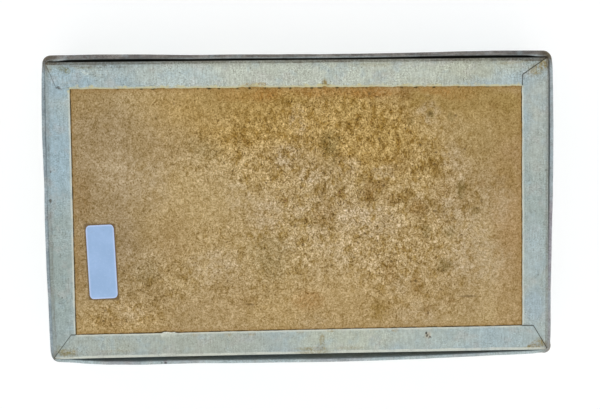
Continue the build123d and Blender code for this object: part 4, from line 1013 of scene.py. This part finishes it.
def band_mesh(name, place, seed):
    half = 13.5
    xs = np.linspace(-half, half, 30)
    s = section(PAPER)
    grid = []
    for x in xs:
        e = x
        if abs(abs(x) - half) < 1e-6:
            e = x + 0.12 * np.sign(x) * fbm(np.arange(len(s)) / 9, seed, seed)
        puff = 0.02 * fbm(x / 7, np.arange(len(s)) / 9, seed + 1)
        cy, cz = s[:, 0], s[:, 1] - BAR_T / 2
        far = np.hypot(cy, cz)
        k = 1 + np.minimum(puff, 0.02) / far * (s[:, 1] > 0.3)
        grid.append(np.stack([np.broadcast_to(e, len(s)), s[:, 0] * k, BAR_T / 2 + cz * k], 1))
    grid = np.array(grid)
    cut = np.abs(half - np.abs(grid[..., 0]))
    bb = Builder("wear", "cut")
    bb.patch(place(grid.reshape(-1, 3)).reshape(grid.shape), wrap=True, flip=True, cut=cut + 0.02)
    # the band's end, lapped and pasted on its upper face
    ys = np.linspace(2.5, -6.0, 12)
    lap = np.array([[(x, y, BAR_T + 2 * PAPER + 0.02 * float(smooth(-y, 5.0, 6.0))) for y in ys] for x in xs])
    lap[..., 0] *= 0.994
    bb.patch(place(lap.reshape(-1, 3)).reshape(lap.shape), flip=True, cut=np.minimum(np.abs(half - np.abs(lap[..., 0])), np.abs(lap[..., 1] + 6.0)) + 0.02)
    return solidify(bb.done(name), PAPER)


for n in range(12):
    node = f"rosin_cake_{n + 1:02d}"
    lo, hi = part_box(node)
    # the bar's middle, read from its corners in the frame, and its own turn, listed
    co = np.array([p.co[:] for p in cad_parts[node].data.vertices])
    mid = (co.min(0) + co.max(0)) / 2
    flat = co[np.abs(co[:, 2] - mid[2]) < 0.004]
    right = co[co[:, 0] > co[:, 0].max() - 0.0004]
    left = co[co[:, 0] < co[:, 0].min() + 0.0004]
    angle = [0.15, -0.12, 0.10, -0.15, 0.12, 0.08, -0.10, 0.14, -0.08, 0.12, -0.12, 0.06][n]
    ca, sa = math.cos(math.radians(angle)), math.sin(math.radians(angle))
    cx, cy, cz = mid[0] / MM, mid[1] / MM, lo.z / MM

    def place(p, ca=ca, sa=sa, cx=cx, cy=cy, cz=cz):
        p = np.asarray(p, float)
        return np.stack([cx + p[:, 0] * ca - p[:, 1] * sa, cy + p[:, 0] * sa + p[:, 1] * ca, cz + p[:, 2]], 1)

    bar = dress(bar_mesh(f"rosin_bar_{n + 1:02d}", place, 100 + n), ROSIN)
    band = dress(band_mesh(f"bar_band_{n + 1:02d}", place, 200 + n), BAND)
    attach(bar, "lid")
    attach(band, "lid")
    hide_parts(node)
    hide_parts(f"paper_band_{n + 1:02d}")

# ---- CAD nodes that keep their shape -------------------------------------------------------------
dress(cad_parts["tray_board"], BOARD_TOP)
dress(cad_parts["lid_top_sheet"], PAPER_SHEET)
for k in range(1, 5):
    dress(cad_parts[f"tray_corner_stay_{k}"], TAPE)

# ---- floor, light and camera ---------------------------------------------------------------------
floor_mesh = bpy.data.meshes.new("floor")
floor_mesh.from_pydata([(-6, -6, -0.00004), (6, -6, -0.00004), (6, 6, -0.00004), (-6, 6, -0.00004)], [], [(0, 1, 2, 3)])
floor = bpy.data.objects.new("floor", floor_mesh)
scene.collection.objects.link(floor)
fm = bpy.data.materials.new("floor_pale")
fm.use_nodes = True
fb_ = fm.node_tree.nodes["Principled BSDF"]
fb_.inputs["Base Color"].default_value = (0.98, 0.98, 0.98, 1)
fb_.inputs["Roughness"].default_value = 1.0
fb_.inputs["Specular IOR Level"].default_value = 0.0
fb_.inputs["Emission Color"].default_value = (1, 1, 1, 1)
fb_.inputs["Emission Strength"].default_value = 0.09
floor.data.materials.append(fm)
floor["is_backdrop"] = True


def area(name, at, size, energy, colour=(1, 1, 1)):
    li = bpy.data.lights.new(name, "AREA")
    li.shape, li.size, li.size_y, li.energy, li.color = "RECTANGLE", size[0], size[1], energy, colour
    o = bpy.data.objects.new(name, li)
    o.location = at
    o.rotation_euler = (Vector((0, 0, 0.01)) - Vector(at)).to_track_quat("-Z", "Y").to_euler()
    scene.collection.objects.link(o)
    return o


area("key", (-0.10, -0.75, 1.25), (1.6, 1.2), 2.4, (1.0, 0.99, 0.97))
overhead = bpy.data.lights.new("overhead", "SUN")
overhead.energy, overhead.angle = 1.34, math.radians(18)
o = bpy.data.objects.new("overhead", overhead)
o.rotation_euler = (math.radians(-3), math.radians(2), 0)
scene.collection.objects.link(o)

# an even studio: paler low down, softer above
world = bpy.data.worlds.new("studio")
world.use_nodes = True
wt = world.node_tree
bg = wt.nodes.get("Background") or wt.nodes.new("ShaderNodeBackground")
bg.inputs[0].default_value = (0.97, 0.985, 1.0, 1)
where_ = wt.nodes.new("ShaderNodeTexCoord")
split = wt.nodes.new("ShaderNodeSeparateXYZ")
level = wt.nodes.new("ShaderNodeMapRange")
wt.links.new(where_.outputs["Generated"], split.inputs[0])
wt.links.new(split.outputs["Z"], level.inputs[0])
for k, v in enumerate((0.30, 0.75, 0.95, 0.30)):
    level.inputs[1 + k].default_value = v
wt.links.new(level.outputs[0], bg.inputs[1])
scene.world = world

cam_data = bpy.data.cameras.new("camera")
cam_data.lens, cam_data.sensor_width, cam_data.clip_start, cam_data.clip_end = 50.0, 36.0, 0.01, 50.0
cam = bpy.data.objects.new("camera", cam_data)
turn = Matrix(((0.99951098, 0.01500281, -0.02743573), (-0.01344834, 0.99834071, 0.05599077), (0.02823022, -0.05559442, 0.99805426)))
cam.matrix_world = Matrix.Translation(Vector((-8.1156, 17.2925, 282.5911 + FLAP_TOP)) * MM) @ turn.to_4x4()
scene.collection.objects.link(cam)
scene.camera = cam
scene.view_settings.view_transform = "Standard"
scene.view_settings.look = "None"

lo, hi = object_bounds()
